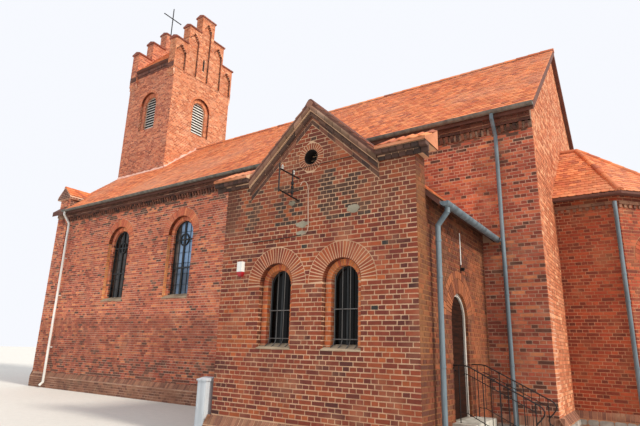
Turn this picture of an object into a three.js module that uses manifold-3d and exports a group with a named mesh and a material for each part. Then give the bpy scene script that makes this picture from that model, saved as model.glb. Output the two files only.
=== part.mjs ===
// A small red-brick village church: nave, west tower with stepped gables, apse and annex.
// Millimetres. X runs east along the nave from its west face, Y runs from the nave's front
// face to its back face, and Z is height above the ground.

import * as THREE from 'three';
import { ConvexGeometry } from 'three/addons/geometries/ConvexGeometry.js';
import { mergeVertices } from 'three/addons/utils/BufferGeometryUtils.js';
import Module from 'manifold-3d';

const wasm = await Module();
wasm.setup();

// Fits between neighbouring pieces
const GAP = 0.3;
const ARC_STEPS = 10;
const THROUGH = 50;

// Nave
const NAVE_LENGTH = 19150;
const NAVE_WIDTH = 8480;
const NAVE_WALL = 500;
const FLOOR_TOP = 600;
const ROOF_APEX = 10870;
const ROOF_PITCH = Math.tan(THREE.MathUtils.degToRad(40));
const ROOF_DEPTH = 190;
const EAVE_OUT = 330;
const WEST_VERGE_OUT = 60;
const EAST_VERGE_OUT = 120;
const RIDGE_HALF = 130;
const RIDGE_RISE = 60;
const AXIS = NAVE_WIDTH / 2;

// Cornice bands under the nave eaves: lower edge, and how far each stands out
const DENTIL_BAND = { low: 6590, out: 30 };
const MOULDING_BAND = { low: 6740, out: 90 };
const FASCIA_BAND = { low: 6815, out: 130 };

// Plinths: how far they stand out, where the sloped course starts and where it ends
const CHURCH_PLINTH = { out: 100, shoulder: 410, top: 560 };
const ANNEX_PLINTH = { out: 100, shoulder: 300, top: 460 };

// Corner piers with saddle caps at the west end
const PIER = { west: -40, east: 690, out: 60, top: 7720 };
const PIER_CAP = { half: 480, out: 170, eave: 7700, ridge: 8150, back: 1050 };

// Nave windows
const NAVE_WINDOW = { half: 620, sill: 3210, springing: 5360, recess: 130, innerHalf: 475, innerSill: 3290 };
const WINDOW_PITCH = 3425;
const FIRST_WINDOW = 4450;
const FRONT_WINDOWS = 3;
const BACK_WINDOWS = 4;
const PLATE_SETBACK = 230;
const PLATE_DEPTH = 40;

// Gutters and downpipes
const GUTTER = { radius: 75, inner: 67, cap: 8 };
const PIPE_RADIUS = 45;
const PIPE_OFF = 150;
const PIPE_SIDES = 12;
const WEST_PIPE_X = 1030;
const EAST_PIPE_X = 18390;
const PIPE_FOOT = 120;
const PIPE_CLIP = { half: 16, heights: [1500, 3500, 5000] };

// Tower
const TOWER_LENGTH = 3330;
const TOWER_WIDTH = 3640;
const TOWER_WALL = 450;
const TOWER_TOP = 14400;
const TOWER_SOUTH = AXIS - TOWER_WIDTH / 2;
const TOWER_NORTH = AXIS + TOWER_WIDTH / 2;
const TOWER_MID = TOWER_LENGTH / 2;
const TOWER_SIDE_TOP = 14880;
const TOWER_ARCH = { half: 950, springing: 2900 };
const BELL = { half: 580, sill: 11600, springing: 12990, recess: 120, innerHalf: 400 };
const LOUVRE = { setback: 190, depth: 110, frame: 45, inset: 8, blades: 11, blade: 18, tilt: 0.75 };
const STEPS = [
  { half: 1900, top: 16080 },
  { half: 1170, top: 17130 },
  { half: 420, top: 18130 },
];
const COPING = { out: 45, rise: 120 };
const NICHE = { half: 290, centreHalf: 240, sill: 14520, recess: 120, underTop: 540, tooth: 95 };
const NICHE_TIERS = [1, 0.75, 0.5, 0.25];
const KNEELER = { low: 14080, mid: 14240 };
const SLIT = { half: 55, low: 15200, high: 15850, depth: 250 };
const TOWER_ROOF = { eaveOut: 130, eave: 15000, ridge: 17300, depth: 190 };
const CROSS = { bar: 40, top: 20120, arm: 19450, reach: 600 };

// West door
const WEST_DOOR = { half: 750, springing: 2300, recess: 150, leaf: 70, setback: 200 };

// Chancel and apse
const CHANCEL_HALF = 2210;
const CHANCEL_WALL = 450;
const CHANCEL_CORNER = 20500;
const CHANCEL_TOP = 5400;
const CHANCEL_ARCH = { half: 1600, springing: 3600 };
const APSE_WINDOW = { half: 400, sill: 2300, springing: 3900, recess: 110, innerHalf: 300 };
const APSE_EAVE_OUT = 260;
const CHANCEL_PITCH = Math.tan(THREE.MathUtils.degToRad(40));
const CHANCEL_ROOF_DEPTH = 180;

// Annex
const ANNEX_WEST = 13690;
const ANNEX_EAST = 17920;
const ANNEX_FRONT = -3690;
const ANNEX_WALL = 380;
const ANNEX_APEX = 6370;
const ANNEX_PITCH = Math.tan(THREE.MathUtils.degToRad(43));
const ANNEX_ROOF_DEPTH = 110;
const ANNEX_EAVE_OUT = 250;
const ANNEX_VERGE_OUT = 110;
const ANNEX_MID = (ANNEX_WEST + ANNEX_EAST) / 2;
const ANNEX_HALF = (ANNEX_EAST - ANNEX_WEST) / 2;
const SHOULDER_IN = 1455;
const SHOULDER_TOP = 5000;
const SHOULDER_CAP = { side: 260, out: 200, low: 5030, high: 5360, depth: 45 };
const SHOULDER_CORBEL = { side: 90, out: 70, low: 4930 };
const BARGE = { upper: 70, lower: 165, upperOut: 95, lowerOut: 50 };
const ANNEX_WINDOW = { half: 390, sill: 1700, springing: 2865, recess: 120, innerHalf: 275, innerSill: 1740 };
const ANNEX_WINDOW_OFF = 715;
const ANNEX_PLATE_SETBACK = 250;
const OCULUS = { radius: 150, height: 5250, depth: 220 };

// Annex doorway, leaf and frame
const DOOR_SOUTH = -2260;
const DOOR_NORTH = -1360;
const DOOR_MID = (DOOR_SOUTH + DOOR_NORTH) / 2;
const DOOR_HALF = (DOOR_NORTH - DOOR_SOUTH) / 2;
const DOOR_SPRINGING = 2330;
const DOOR_REVEAL = 85;
const DOOR_REBATE = 110;
const DOOR_REBATE_TOP = 2950;
const FRAME = { setback: 45, depth: 30, width: 62 };
const LEAF = { depth: 45, lap: 20, clear: 5, floorClear: 10 };
const HINGE = { off: 8, pin: 6, knuckle: 12, tall: 60, heights: [950, 2150] };

// Steps and railings
const FLIGHT = { south: -2420, north: -1180, treads: [380, 320, 320, 320], rise: 150 };
const RAIL = { bar: 30, thin: 16, near: -2300, far: -1260, top: 910, level: 215, length: 1350, drop: 540 };
const RAIL_SCROLL = 260;
const RAIL_BALUSTERS = 9;

// Things fixed to the annex walls, and the cabinet beside it
const BRACKET = { x: 15535, low: 4440, high: 4860, reach: 620, bar: 36, inner: 230 };
const ALARM = { west: 14155, width: 140, low: 3040, height: 290, depth: 90 };
const LAMP = { y: -1640, z: 3230, size: 110 };
const CABINET = { width: 230, depth: 200, height: 1130, lid: 20 };

// Colours, roughness and metalness
const FINISH = {
  brick: { color: 0x9c4f38, roughness: 0.9, metalness: 0 },
  tile: { color: 0xc0623a, roughness: 0.85, metalness: 0 },
  zinc: { color: 0x7f8a90, roughness: 0.5, metalness: 0.7 },
  iron: { color: 0x1d1c1d, roughness: 0.6, metalness: 0.6 },
  glass: { color: 0x27303a, roughness: 0.15, metalness: 0 },
  slats: { color: 0xa9a5a0, roughness: 0.8, metalness: 0 },
  timber: { color: 0x2b1c17, roughness: 0.7, metalness: 0 },
  stone: { color: 0xb0aca2, roughness: 0.9, metalness: 0 },
  floor: { color: 0x8c8478, roughness: 0.85, metalness: 0 },
  white: { color: 0xe4e4e0, roughness: 0.5, metalness: 0 },
};

const church = new THREE.Group();
const building = new THREE.Group();
church.add(building);

function toSolid(geometry) {
  const bare = geometry.index ? geometry.toNonIndexed() : geometry.clone();
  bare.deleteAttribute('normal');
  bare.deleteAttribute('uv');
  const welded = mergeVertices(bare, 0.01);
  const mesh = new wasm.Mesh({
    numProp: 3,
    vertProperties: Float32Array.from(welded.attributes.position.array),
    triVerts: Uint32Array.from(welded.index.array),
  });
  return new wasm.Manifold(mesh);
}

function toGeometry(solid) {
  const { vertProperties, triVerts } = solid.getMesh();
  const geometry = new THREE.BufferGeometry();
  geometry.setAttribute('position', new THREE.BufferAttribute(Float32Array.from(vertProperties), 3));
  geometry.setIndex(new THREE.BufferAttribute(Uint32Array.from(triVerts), 1));
  geometry.computeVertexNormals();
  return geometry;
}

function addPiece(name, finish, solid) {
  const mesh = new THREE.Mesh(toGeometry(solid), new THREE.MeshStandardMaterial(FINISH[finish]));
  mesh.name = name;
  building.add(mesh);
}

function unite(solids) {
  return solids.reduce((whole, solid) => whole.add(solid));
}

function outline(points) {
  return new THREE.Shape(points.map(([u, v]) => new THREE.Vector2(u, v)));
}

const axis = (x, y, z) => new THREE.Vector3(x, y, z);
const RUN_X = new THREE.Matrix4().makeBasis(axis(0, 1, 0), axis(0, 0, 1), axis(1, 0, 0));
const RUN_Y = new THREE.Matrix4().makeBasis(axis(1, 0, 0), axis(0, 0, 1), axis(0, -1, 0));

function extrude(shape, depth) {
  return new THREE.ExtrudeGeometry(shape, { depth, bevelEnabled: false, curveSegments: ARC_STEPS });
}

// A shape drawn in Y and Z, run along X
function runX(shape, x0, x1) {
  return toSolid(extrude(shape, x1 - x0).applyMatrix4(RUN_X).translate(x0, 0, 0));
}

// A shape drawn in X and Z, run along Y
function runY(shape, y0, y1) {
  return toSolid(extrude(shape, y1 - y0).applyMatrix4(RUN_Y).translate(0, y1, 0));
}

// A shape drawn in X and Y, run up Z
function runZ(shape, z0, z1) {
  return toSolid(extrude(shape, z1 - z0).translate(0, 0, z0));
}

function block(x0, x1, ya, yb, z0, z1) {
  const y0 = Math.min(ya, yb);
  const y1 = Math.max(ya, yb);
  const box = new THREE.BoxGeometry(x1 - x0, y1 - y0, z1 - z0);
  return toSolid(box.translate((x0 + x1) / 2, (y0 + y1) / 2, (z0 + z1) / 2));
}

function hull(points) {
  return toSolid(new ConvexGeometry(points.map(([x, y, z]) => axis(x, y, z))));
}

// A straight round bar or pipe between two points
function rod(from, to, radius, sides = PIPE_SIDES) {
  const start = axis(...from);
  const run = axis(...to).sub(start);
  const length = run.length();
  const geometry = new THREE.CylinderGeometry(radius, radius, length, sides);
  geometry.translate(0, length / 2, 0);
  const turn = new THREE.Quaternion().setFromUnitVectors(axis(0, 1, 0), run.normalize());
  geometry.applyQuaternion(turn);
  return toSolid(geometry.translate(start.x, start.y, start.z));
}

function archShape(centre, half, sill, springing) {
  const shape = new THREE.Shape();
  shape.moveTo(centre - half, sill);
  shape.lineTo(centre + half, sill);
  shape.lineTo(centre + half, springing);
  shape.absarc(centre, springing, half, 0, Math.PI, false);
  shape.closePath();
  return shape;
}

// Y measured from the front face, or from the back face on the back half
function sideY(y, back) {
  return back ? NAVE_WIDTH - y : y;
}

function roofTop(y) {
  return ROOF_APEX - ROOF_PITCH * Math.abs(y - AXIS);
}

function roofUnder(y) {
  return roofTop(y) - ROOF_DEPTH;
}

// A plinth round a wall's footprint, standing out only on the named sides, with a sloped top
function plinth(x0, x1, y0, y1, sides, size) {
  const west = sides.includes('w') ? size.out : 0;
  const east = sides.includes('e') ? size.out : 0;
  const south = sides.includes('s') ? size.out : 0;
  const north = sides.includes('n') ? size.out : 0;
  const wide = [
    [x0 - west, y0 - south],
    [x1 + east, y0 - south],
    [x1 + east, y1 + north],
    [x0 - west, y1 + north],
  ];
  const flush = [[x0, y0], [x1, y0], [x1, y1], [x0, y1]];
  return hull([
    ...wide.map(([x, y]) => [x, y, 0]),
    ...wide.map(([x, y]) => [x, y, size.shoulder]),
    ...flush.map(([x, y]) => [x, y, size.top]),
  ]);
}

// Nave roof

function roofSlabShape(back) {
  const eave = sideY(-EAVE_OUT, back);
  const ridge = sideY(AXIS - GAP / 2, back);
  return outline([
    [eave, roofUnder(eave)],
    [ridge, roofUnder(ridge)],
    [ridge, roofTop(ridge)],
    [eave, roofTop(eave)],
  ]);
}

function ridgeShape(mid, apex, pitch) {
  const sink = 4;
  const low = apex - pitch * RIDGE_HALF;
  return outline([
    [mid - RIDGE_HALF, low - sink],
    [mid - GAP, apex - sink],
    [mid, apex + GAP],
    [mid + RIDGE_HALF, low + GAP],
    [mid + RIDGE_HALF, low + 34],
    [mid + RIDGE_HALF * 0.62, apex - 8],
    [mid + RIDGE_HALF * 0.3, apex + RIDGE_RISE * 0.8],
    [mid, apex + RIDGE_RISE],
    [mid - RIDGE_HALF * 0.3, apex + RIDGE_RISE * 0.8],
    [mid - RIDGE_HALF * 0.62, apex - 8],
    [mid - RIDGE_HALF, low + 34],
  ]);
}

function pierBody(back, clear) {
  const front = sideY(-PIER.out - clear, back);
  const inner = sideY(NAVE_WALL + clear, back);
  return block(PIER.west - clear, PIER.east + clear, front, inner, 0, PIER.top);
}

function naveRoofSlab(back) {
  const towerHole = block(
    -NAVE_WALL, TOWER_LENGTH + GAP, TOWER_SOUTH - GAP, TOWER_NORTH + GAP, 0, TOWER_TOP,
  );
  let slab = runX(roofSlabShape(back), -WEST_VERGE_OUT, NAVE_LENGTH + EAST_VERGE_OUT);
  slab = slab.subtract(towerHole).subtract(pierBody(back, GAP));
  if (!back) {
    const ridge = ridgeShape(AXIS, ROOF_APEX, ROOF_PITCH);
    slab = slab.add(runX(ridge, TOWER_LENGTH + GAP, NAVE_LENGTH + EAST_VERGE_OUT));
  }
  return slab;
}

addPiece('nave_roof_front', 'tile', naveRoofSlab(false));
addPiece('nave_roof_back', 'tile', naveRoofSlab(true));

// Nave long walls

function pierCap(back) {
  const mid = (PIER.west + PIER.east) / 2;
  const shape = outline([
    [mid - PIER_CAP.half, PIER_CAP.eave - 90],
    [mid + PIER_CAP.half, PIER_CAP.eave - 90],
    [mid + PIER_CAP.half, PIER_CAP.eave],
    [mid, PIER_CAP.ridge],
    [mid - PIER_CAP.half, PIER_CAP.eave],
  ]);
  const ends = [sideY(-PIER_CAP.out, back), sideY(PIER_CAP.back, back)];
  const cap = runY(shape, Math.min(...ends), Math.max(...ends));
  const wholeSlab = runX(roofSlabShape(back), -2 * NAVE_WALL, NAVE_LENGTH);
  const under = runX(outline([
    [sideY(-EAVE_OUT, back), 0],
    [sideY(PIER_CAP.back + THROUGH, back), 0],
    [sideY(PIER_CAP.back + THROUGH, back), roofTop(sideY(PIER_CAP.back + THROUGH, back)) + GAP],
    [sideY(-EAVE_OUT, back), roofTop(sideY(-EAVE_OUT, back)) + GAP],
  ]), -2 * NAVE_WALL, NAVE_LENGTH);
  const front = sideY(-PIER_CAP.out - THROUGH, back);
  const behind = sideY(-EAVE_OUT / 5, back);
  const keep = block(PIER.west - NAVE_WALL, PIER.east + NAVE_WALL, front, behind, 0, ROOF_APEX);
  return cap.subtract(under.add(wholeSlab).subtract(keep)).add(cap.intersect(keep));
}

function windowCut(centre, size, face, inward, wall) {
  const recess = archShape(centre, size.half, size.sill, size.springing);
  const opening = archShape(centre, size.innerHalf, size.innerSill ?? size.sill, size.springing);
  const outside = face - inward * THROUGH;
  const recessEnd = face + inward * size.recess;
  const inside = face + inward * (wall + THROUGH);
  const cut = runY(recess, Math.min(outside, recessEnd), Math.max(outside, recessEnd));
  return cut.add(runY(opening, Math.min(outside, inside), Math.max(outside, inside)));
}

function longWallShape(back) {
  const wall = [
    [0, 0],
    [NAVE_WALL, 0],
    [NAVE_WALL, roofUnder(NAVE_WALL) - GAP],
    [-FASCIA_BAND.out, roofUnder(-FASCIA_BAND.out) - GAP],
    [-FASCIA_BAND.out, FASCIA_BAND.low],
    [-MOULDING_BAND.out, FASCIA_BAND.low],
    [-MOULDING_BAND.out, MOULDING_BAND.low],
    [-DENTIL_BAND.out, MOULDING_BAND.low],
    [-DENTIL_BAND.out, DENTIL_BAND.low],
    [0, DENTIL_BAND.low],
  ];
  return outline(wall.map(([y, z]) => [sideY(y, back), z]));
}

function longWall(back, windows) {
  const face = sideY(0, back);
  const inner = sideY(NAVE_WALL, back);
  const low = Math.min(face, inner);
  const high = Math.max(face, inner);
  const out = back ? 'n' : 's';
  let wall = runX(longWallShape(back), 0, NAVE_LENGTH);
  wall = wall.add(pierBody(back, 0)).add(pierCap(back));
  if (back) {
    wall = wall.add(plinth(0, NAVE_LENGTH, low, high, 'nwe', CHURCH_PLINTH));
  } else {
    const west = ANNEX_WEST - ANNEX_PLINTH.out - GAP;
    const east = ANNEX_EAST + ANNEX_PLINTH.out + GAP;
    wall = wall.add(plinth(0, west, low, high, `${out}w`, CHURCH_PLINTH));
    wall = wall.add(plinth(east, NAVE_LENGTH, low, high, `${out}e`, CHURCH_PLINTH));
  }
  for (let i = 0; i < windows; i += 1) {
    const centre = FIRST_WINDOW + i * WINDOW_PITCH;
    wall = wall.subtract(windowCut(centre, NAVE_WINDOW, face, back ? -1 : 1, NAVE_WALL));
  }
  return wall;
}

addPiece('nave_front_wall', 'brick', longWall(false, FRONT_WINDOWS));
addPiece('nave_back_wall', 'brick', longWall(true, BACK_WINDOWS));

// Nave windows: one plate each on the front, one sheet inside the back wall

function windowPlate(centre, size, y0, depth) {
  const sill = (size.innerSill ?? size.sill) + GAP;
  const shape = archShape(centre, size.innerHalf - GAP, sill, size.springing);
  return runY(shape, y0, y0 + depth);
}

for (let i = 0; i < FRONT_WINDOWS; i += 1) {
  const centre = FIRST_WINDOW + i * WINDOW_PITCH;
  const plate = windowPlate(centre, NAVE_WINDOW, PLATE_SETBACK, PLATE_DEPTH);
  addPiece(`nave_front_window_${i + 1}`, 'glass', plate);
}

const sheetFace = NAVE_WIDTH - NAVE_WALL - GAP;
addPiece('nave_back_window_sheet', 'glass', block(
  FIRST_WINDOW - NAVE_WINDOW.half,
  FIRST_WINDOW + (BACK_WINDOWS - 1) * WINDOW_PITCH + NAVE_WINDOW.half,
  sheetFace - PLATE_DEPTH / 2,
  sheetFace,
  NAVE_WINDOW.sill,
  NAVE_WINDOW.springing + NAVE_WINDOW.half,
));

// West front: the nave's end wall and the tower's west face in one

function westFront() {
  const south = NAVE_WALL + GAP;
  const north = NAVE_WIDTH - NAVE_WALL - GAP;
  const shape = outline([
    [south, 0],
    [north, 0],
    [north, roofUnder(north) - GAP],
    [TOWER_NORTH, roofUnder(TOWER_NORTH) - GAP],
    [TOWER_NORTH, TOWER_TOP],
    [TOWER_SOUTH, TOWER_TOP],
    [TOWER_SOUTH, roofUnder(TOWER_SOUTH) - GAP],
    [south, roofUnder(south) - GAP],
  ]);
  let wall = runX(shape, 0, NAVE_WALL);
  wall = wall.add(plinth(0, NAVE_WALL, south, north, 'w', CHURCH_PLINTH));
  wall = wall.subtract(bellCutX(0, 1));
  const outer = archShape(AXIS, WEST_DOOR.half + 180, FLOOR_TOP, WEST_DOOR.springing + FLOOR_TOP);
  const inner = archShape(AXIS, WEST_DOOR.half, FLOOR_TOP, WEST_DOOR.springing + FLOOR_TOP);
  wall = wall.subtract(runX(outer, -2 * CHURCH_PLINTH.out, WEST_DOOR.recess));
  return wall.subtract(runX(inner, -THROUGH, NAVE_WALL + THROUGH));
}

function bellCutX(face, inward) {
  const recess = archShape(AXIS, BELL.half, BELL.sill, BELL.springing);
  const opening = archShape(AXIS, BELL.innerHalf, BELL.sill, BELL.springing);
  const outside = face - inward * THROUGH;
  const recessEnd = face + inward * BELL.recess;
  const inside = face + inward * (NAVE_WALL + THROUGH);
  const cut = runX(recess, Math.min(outside, recessEnd), Math.max(outside, recessEnd));
  return cut.add(runX(opening, Math.min(outside, inside), Math.max(outside, inside)));
}

addPiece('west_front', 'brick', westFront());

const westLeaf = archShape(AXIS, WEST_DOOR.half - GAP, FLOOR_TOP + GAP, WEST_DOOR.springing + FLOOR_TOP);
addPiece('west_door', 'timber', runX(westLeaf, WEST_DOOR.setback, WEST_DOOR.setback + WEST_DOOR.leaf));

// Tower walls

function towerEastWall() {
  let wall = block(TOWER_LENGTH - TOWER_WALL, TOWER_LENGTH, TOWER_SOUTH, TOWER_NORTH, 0, TOWER_TOP);
  wall = wall.subtract(bellCutX(TOWER_LENGTH, -1));
  const arch = archShape(AXIS, TOWER_ARCH.half, -THROUGH, TOWER_ARCH.springing);
  return wall.subtract(runX(arch, TOWER_LENGTH - 2 * TOWER_WALL, TOWER_LENGTH + THROUGH));
}

function towerSideWall(back) {
  const face = back ? TOWER_NORTH : TOWER_SOUTH;
  const inward = back ? -1 : 1;
  const inner = face + inward * TOWER_WALL;
  const wall = block(NAVE_WALL + GAP, TOWER_LENGTH - TOWER_WALL - GAP, face, inner, 0, TOWER_SIDE_TOP);
  return wall.subtract(windowCut(TOWER_MID, BELL, face, inward, TOWER_WALL));
}

addPiece('tower_east_wall', 'brick', towerEastWall());
addPiece('tower_south_wall', 'brick', towerSideWall(false));
addPiece('tower_north_wall', 'brick', towerSideWall(true));

// Stepped gables

function gableShape() {
  const [low, mid, high] = STEPS;
  const base = TOWER_TOP + GAP;
  return outline([
    [AXIS - low.half, base],
    [AXIS + low.half, base],
    [AXIS + low.half, low.top],
    [AXIS + mid.half, low.top],
    [AXIS + mid.half, mid.top],
    [AXIS + high.half, mid.top],
    [AXIS + high.half, high.top],
    [AXIS - high.half, high.top],
    [AXIS - high.half, mid.top],
    [AXIS - mid.half, mid.top],
    [AXIS - mid.half, low.top],
    [AXIS - low.half, low.top],
  ]);
}

// A small saddle coping on one step, its ridge along Y
function coping(x0, x1, y0, y1, base) {
  const mid = (x0 + x1) / 2;
  const shape = outline([
    [x0 - COPING.out, base],
    [x1 + COPING.out, base],
    [x1 + COPING.out, base + COPING.rise * 0.35],
    [mid, base + COPING.rise],
    [x0 - COPING.out, base + COPING.rise * 0.35],
  ]);
  return runY(shape, y0, y1);
}

function nicheCut(centre, top, half, face, inward) {
  const end = face + inward * NICHE.recess;
  const outside = face - inward * THROUGH;
  const x0 = Math.min(end, outside);
  const x1 = Math.max(end, outside);
  const head = top - NICHE.underTop;
  return unite(NICHE_TIERS.map((share, tier) => {
    const foot = tier === 0 ? NICHE.sill : head + (tier - 1.5) * NICHE.tooth;
    return block(x0, x1, centre - half * share, centre + half * share, foot, head + tier * NICHE.tooth);
  }));
}

function towerGable(x0, x1, face, inward) {
  let gable = runX(gableShape(), x0, x1);
  const [low, mid, high] = STEPS;
  for (const side of [-1, 1]) {
    const outerLow = AXIS + side * (low.half + COPING.out);
    const innerLow = AXIS + side * mid.half;
    const outerMid = AXIS + side * (mid.half + COPING.out);
    const innerMid = AXIS + side * high.half;
    gable = gable.add(coping(x0, x1, Math.min(outerLow, innerLow), Math.max(outerLow, innerLow), low.top));
    gable = gable.add(coping(x0, x1, Math.min(outerMid, innerMid), Math.max(outerMid, innerMid), mid.top));
    const lowNiche = AXIS + side * (low.half + mid.half) / 2;
    const midNiche = AXIS + side * (mid.half + high.half) / 2;
    gable = gable.subtract(nicheCut(lowNiche, low.top, NICHE.half, face, inward));
    gable = gable.subtract(nicheCut(midNiche, mid.top, NICHE.half, face, inward));
    const flank = side < 0 ? TOWER_SOUTH - GAP : TOWER_NORTH + GAP;
    const edge = AXIS + side * low.half;
    const half = (flank + edge) / 2;
    gable = gable.add(block(x0, x1, flank, edge, KNEELER.mid, TOWER_TOP + THROUGH));
    gable = gable.add(block(x0, x1, flank, half, KNEELER.low, TOWER_TOP + THROUGH));
  }
  const coverHalf = high.half + COPING.out;
  gable = gable.add(coping(x0, x1, AXIS - coverHalf, AXIS + coverHalf, high.top));
  gable = gable.subtract(nicheCut(AXIS, high.top, NICHE.centreHalf, face, inward));
  const slitEnd = face + inward * SLIT.depth;
  const outside = face - inward * THROUGH;
  const slit = block(
    Math.min(slitEnd, outside), Math.max(slitEnd, outside),
    AXIS - SLIT.half, AXIS + SLIT.half, SLIT.low, SLIT.high,
  );
  return gable.subtract(slit);
}

addPiece('tower_east_gable', 'brick', towerGable(TOWER_LENGTH - TOWER_WALL, TOWER_LENGTH, TOWER_LENGTH, -1));
addPiece('tower_west_gable', 'brick', towerGable(0, NAVE_WALL, 0, 1));

// Tower roof: a saddle between the gables

function towerRoof() {
  const half = TOWER_WIDTH / 2 + TOWER_ROOF.eaveOut;
  const rise = TOWER_ROOF.ridge - TOWER_ROOF.eave;
  const pitch = rise / half;
  const under = TOWER_ROOF.depth;
  const wallTop = TOWER_SIDE_TOP + GAP;
  const seatIn = TOWER_WALL - 150;
  const shape = outline([
    [AXIS - half, TOWER_ROOF.eave],
    [AXIS - half, TOWER_ROOF.eave - 60],
    [TOWER_SOUTH, wallTop],
    [TOWER_SOUTH + seatIn, wallTop],
    [AXIS, TOWER_ROOF.ridge - under],
    [TOWER_NORTH - seatIn, wallTop],
    [TOWER_NORTH, wallTop],
    [AXIS + half, TOWER_ROOF.eave - 60],
    [AXIS + half, TOWER_ROOF.eave],
    [AXIS, TOWER_ROOF.ridge],
  ]);
  return runX(shape, NAVE_WALL + GAP, TOWER_LENGTH - TOWER_WALL - GAP);
}

addPiece('tower_roof', 'tile', towerRoof());

// Louvres in the four bell openings

// runFace runs a shape through the wall, and runBlade runs a blade's section along it
function louvre(runFace, runBlade, centre, face, inward) {
  const near = face + inward * LOUVRE.setback;
  const far = near + inward * LOUVRE.depth;
  const from = Math.min(near, far);
  const to = Math.max(near, far);
  const half = BELL.innerHalf - GAP;
  const sill = BELL.sill + GAP;
  const whole = runFace(archShape(centre, half, sill, BELL.springing), from, to);
  const inside = archShape(centre, half - LOUVRE.frame, sill + LOUVRE.frame, BELL.springing);
  const bladeRoom = archShape(centre, half - LOUVRE.frame / 2, sill + LOUVRE.frame / 2, BELL.springing);
  const step = (BELL.springing + BELL.innerHalf - BELL.sill) / LOUVRE.blades;
  const front = near + inward * LOUVRE.inset;
  const back = far - inward * LOUVRE.inset;
  const drop = (LOUVRE.depth / 2 - LOUVRE.inset) * LOUVRE.tilt;
  const blades = [];
  for (let i = 0; i < LOUVRE.blades; i += 1) {
    const z = sill + step * (i + 0.5);
    blades.push(runBlade(outline([
      [front, z - drop],
      [back, z + drop],
      [back, z + drop + LOUVRE.blade],
      [front, z - drop + LOUVRE.blade],
    ]), centre - half, centre + half));
  }
  const frame = whole.subtract(runFace(inside, from - THROUGH, to + THROUGH));
  const room = runFace(bladeRoom, from - THROUGH, to + THROUGH);
  return frame.add(unite(blades).intersect(room));
}

addPiece('tower_south_louvre', 'slats', louvre(runY, runX, TOWER_MID, TOWER_SOUTH, 1));
addPiece('tower_north_louvre', 'slats', louvre(runY, runX, TOWER_MID, TOWER_NORTH, -1));
addPiece('tower_west_louvre', 'slats', louvre(runX, runY, AXIS, 0, 1));
addPiece('tower_east_louvre', 'slats', louvre(runX, runY, AXIS, TOWER_LENGTH, -1));

// Iron cross on the west gable

const crossX = NAVE_WALL / 2;
const crossFoot = STEPS[2].top + COPING.rise + GAP;
const halfBar = CROSS.bar / 2;

// A square iron bar lying in the gable's plane, between two heights
function crossBar(reach, low, high) {
  return block(crossX - halfBar, crossX + halfBar, AXIS - reach, AXIS + reach, low, high);
}

addPiece('tower_cross', 'iron', unite([
  crossBar(halfBar, crossFoot, CROSS.top),
  crossBar(CROSS.reach, CROSS.arm, CROSS.arm + CROSS.bar),
]));

// East gable wall of the nave, with the chancel arch

function naveEastWall() {
  const south = NAVE_WALL + GAP;
  const north = NAVE_WIDTH - NAVE_WALL - GAP;
  const shape = outline([
    [south, 0],
    [north, 0],
    [north, roofUnder(north) - GAP],
    [AXIS, roofUnder(AXIS) - GAP],
    [south, roofUnder(south) - GAP],
  ]);
  let wall = runX(shape, NAVE_LENGTH - NAVE_WALL, NAVE_LENGTH);
  const west = NAVE_LENGTH - NAVE_WALL;
  const chancelSouth = AXIS - CHANCEL_HALF - CHURCH_PLINTH.out - GAP;
  const chancelNorth = AXIS + CHANCEL_HALF + CHURCH_PLINTH.out + GAP;
  wall = wall.add(plinth(west, NAVE_LENGTH, south, chancelSouth, 'e', CHURCH_PLINTH));
  wall = wall.add(plinth(west, NAVE_LENGTH, chancelNorth, north, 'e', CHURCH_PLINTH));
  const arch = archShape(AXIS, CHANCEL_ARCH.half, -THROUGH, CHANCEL_ARCH.springing);
  return wall.subtract(runX(arch, west - THROUGH, NAVE_LENGTH + THROUGH));
}

addPiece('nave_east_wall', 'brick', naveEastWall());

// Chancel and apse: five sides of an octagon's plan

const octant = Math.tan(Math.PI / 8);
const apseCentre = CHANCEL_CORNER - CHANCEL_HALF * octant;

// Plan corners at a given half width, from the south-west round to the north-west
function chancelPlan(half, west) {
  const corner = half * octant;
  return [
    [west, AXIS - half],
    [apseCentre + corner, AXIS - half],
    [apseCentre + half, AXIS - corner],
    [apseCentre + half, AXIS + corner],
    [apseCentre + corner, AXIS + half],
    [west, AXIS + half],
  ];
}

const chancelWest = NAVE_LENGTH + GAP;
const outerPlan = chancelPlan(CHANCEL_HALF, chancelWest);
const innerPlan = chancelPlan(CHANCEL_HALF - CHANCEL_WALL, chancelWest);
const plinthPlan = chancelPlan(CHANCEL_HALF + CHURCH_PLINTH.out, chancelWest);

function shorten([ax, ay], [bx, by], by0) {
  const length = Math.hypot(bx - ax, by - ay);
  const t = by0 / length;
  return [ax + (bx - ax) * t, ay + (by - ay) * t];
}

function chancelSide(index) {
  const next = index + 1;
  const trimStart = index === 0 ? 0 : GAP;
  const trimEnd = next === outerPlan.length - 1 ? 0 : GAP;
  const edge = (plan) => [
    shorten(plan[index], plan[next], trimStart),
    shorten(plan[next], plan[index], trimEnd),
  ];
  const [outerA, outerB] = edge(outerPlan);
  const [innerA, innerB] = edge(innerPlan);
  const [plinthA, plinthB] = edge(plinthPlan);
  const wall = runZ(outline([outerA, outerB, innerB, innerA]), 0, CHANCEL_TOP);
  const foot = [plinthA, plinthB, innerB, innerA];
  const flush = [outerA, outerB, innerB, innerA];
  return wall.add(hull([
    ...foot.map(([x, y]) => [x, y, 0]),
    ...foot.map(([x, y]) => [x, y, CHURCH_PLINTH.shoulder]),
    ...flush.map(([x, y]) => [x, y, CHURCH_PLINTH.top]),
  ]));
}

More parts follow.
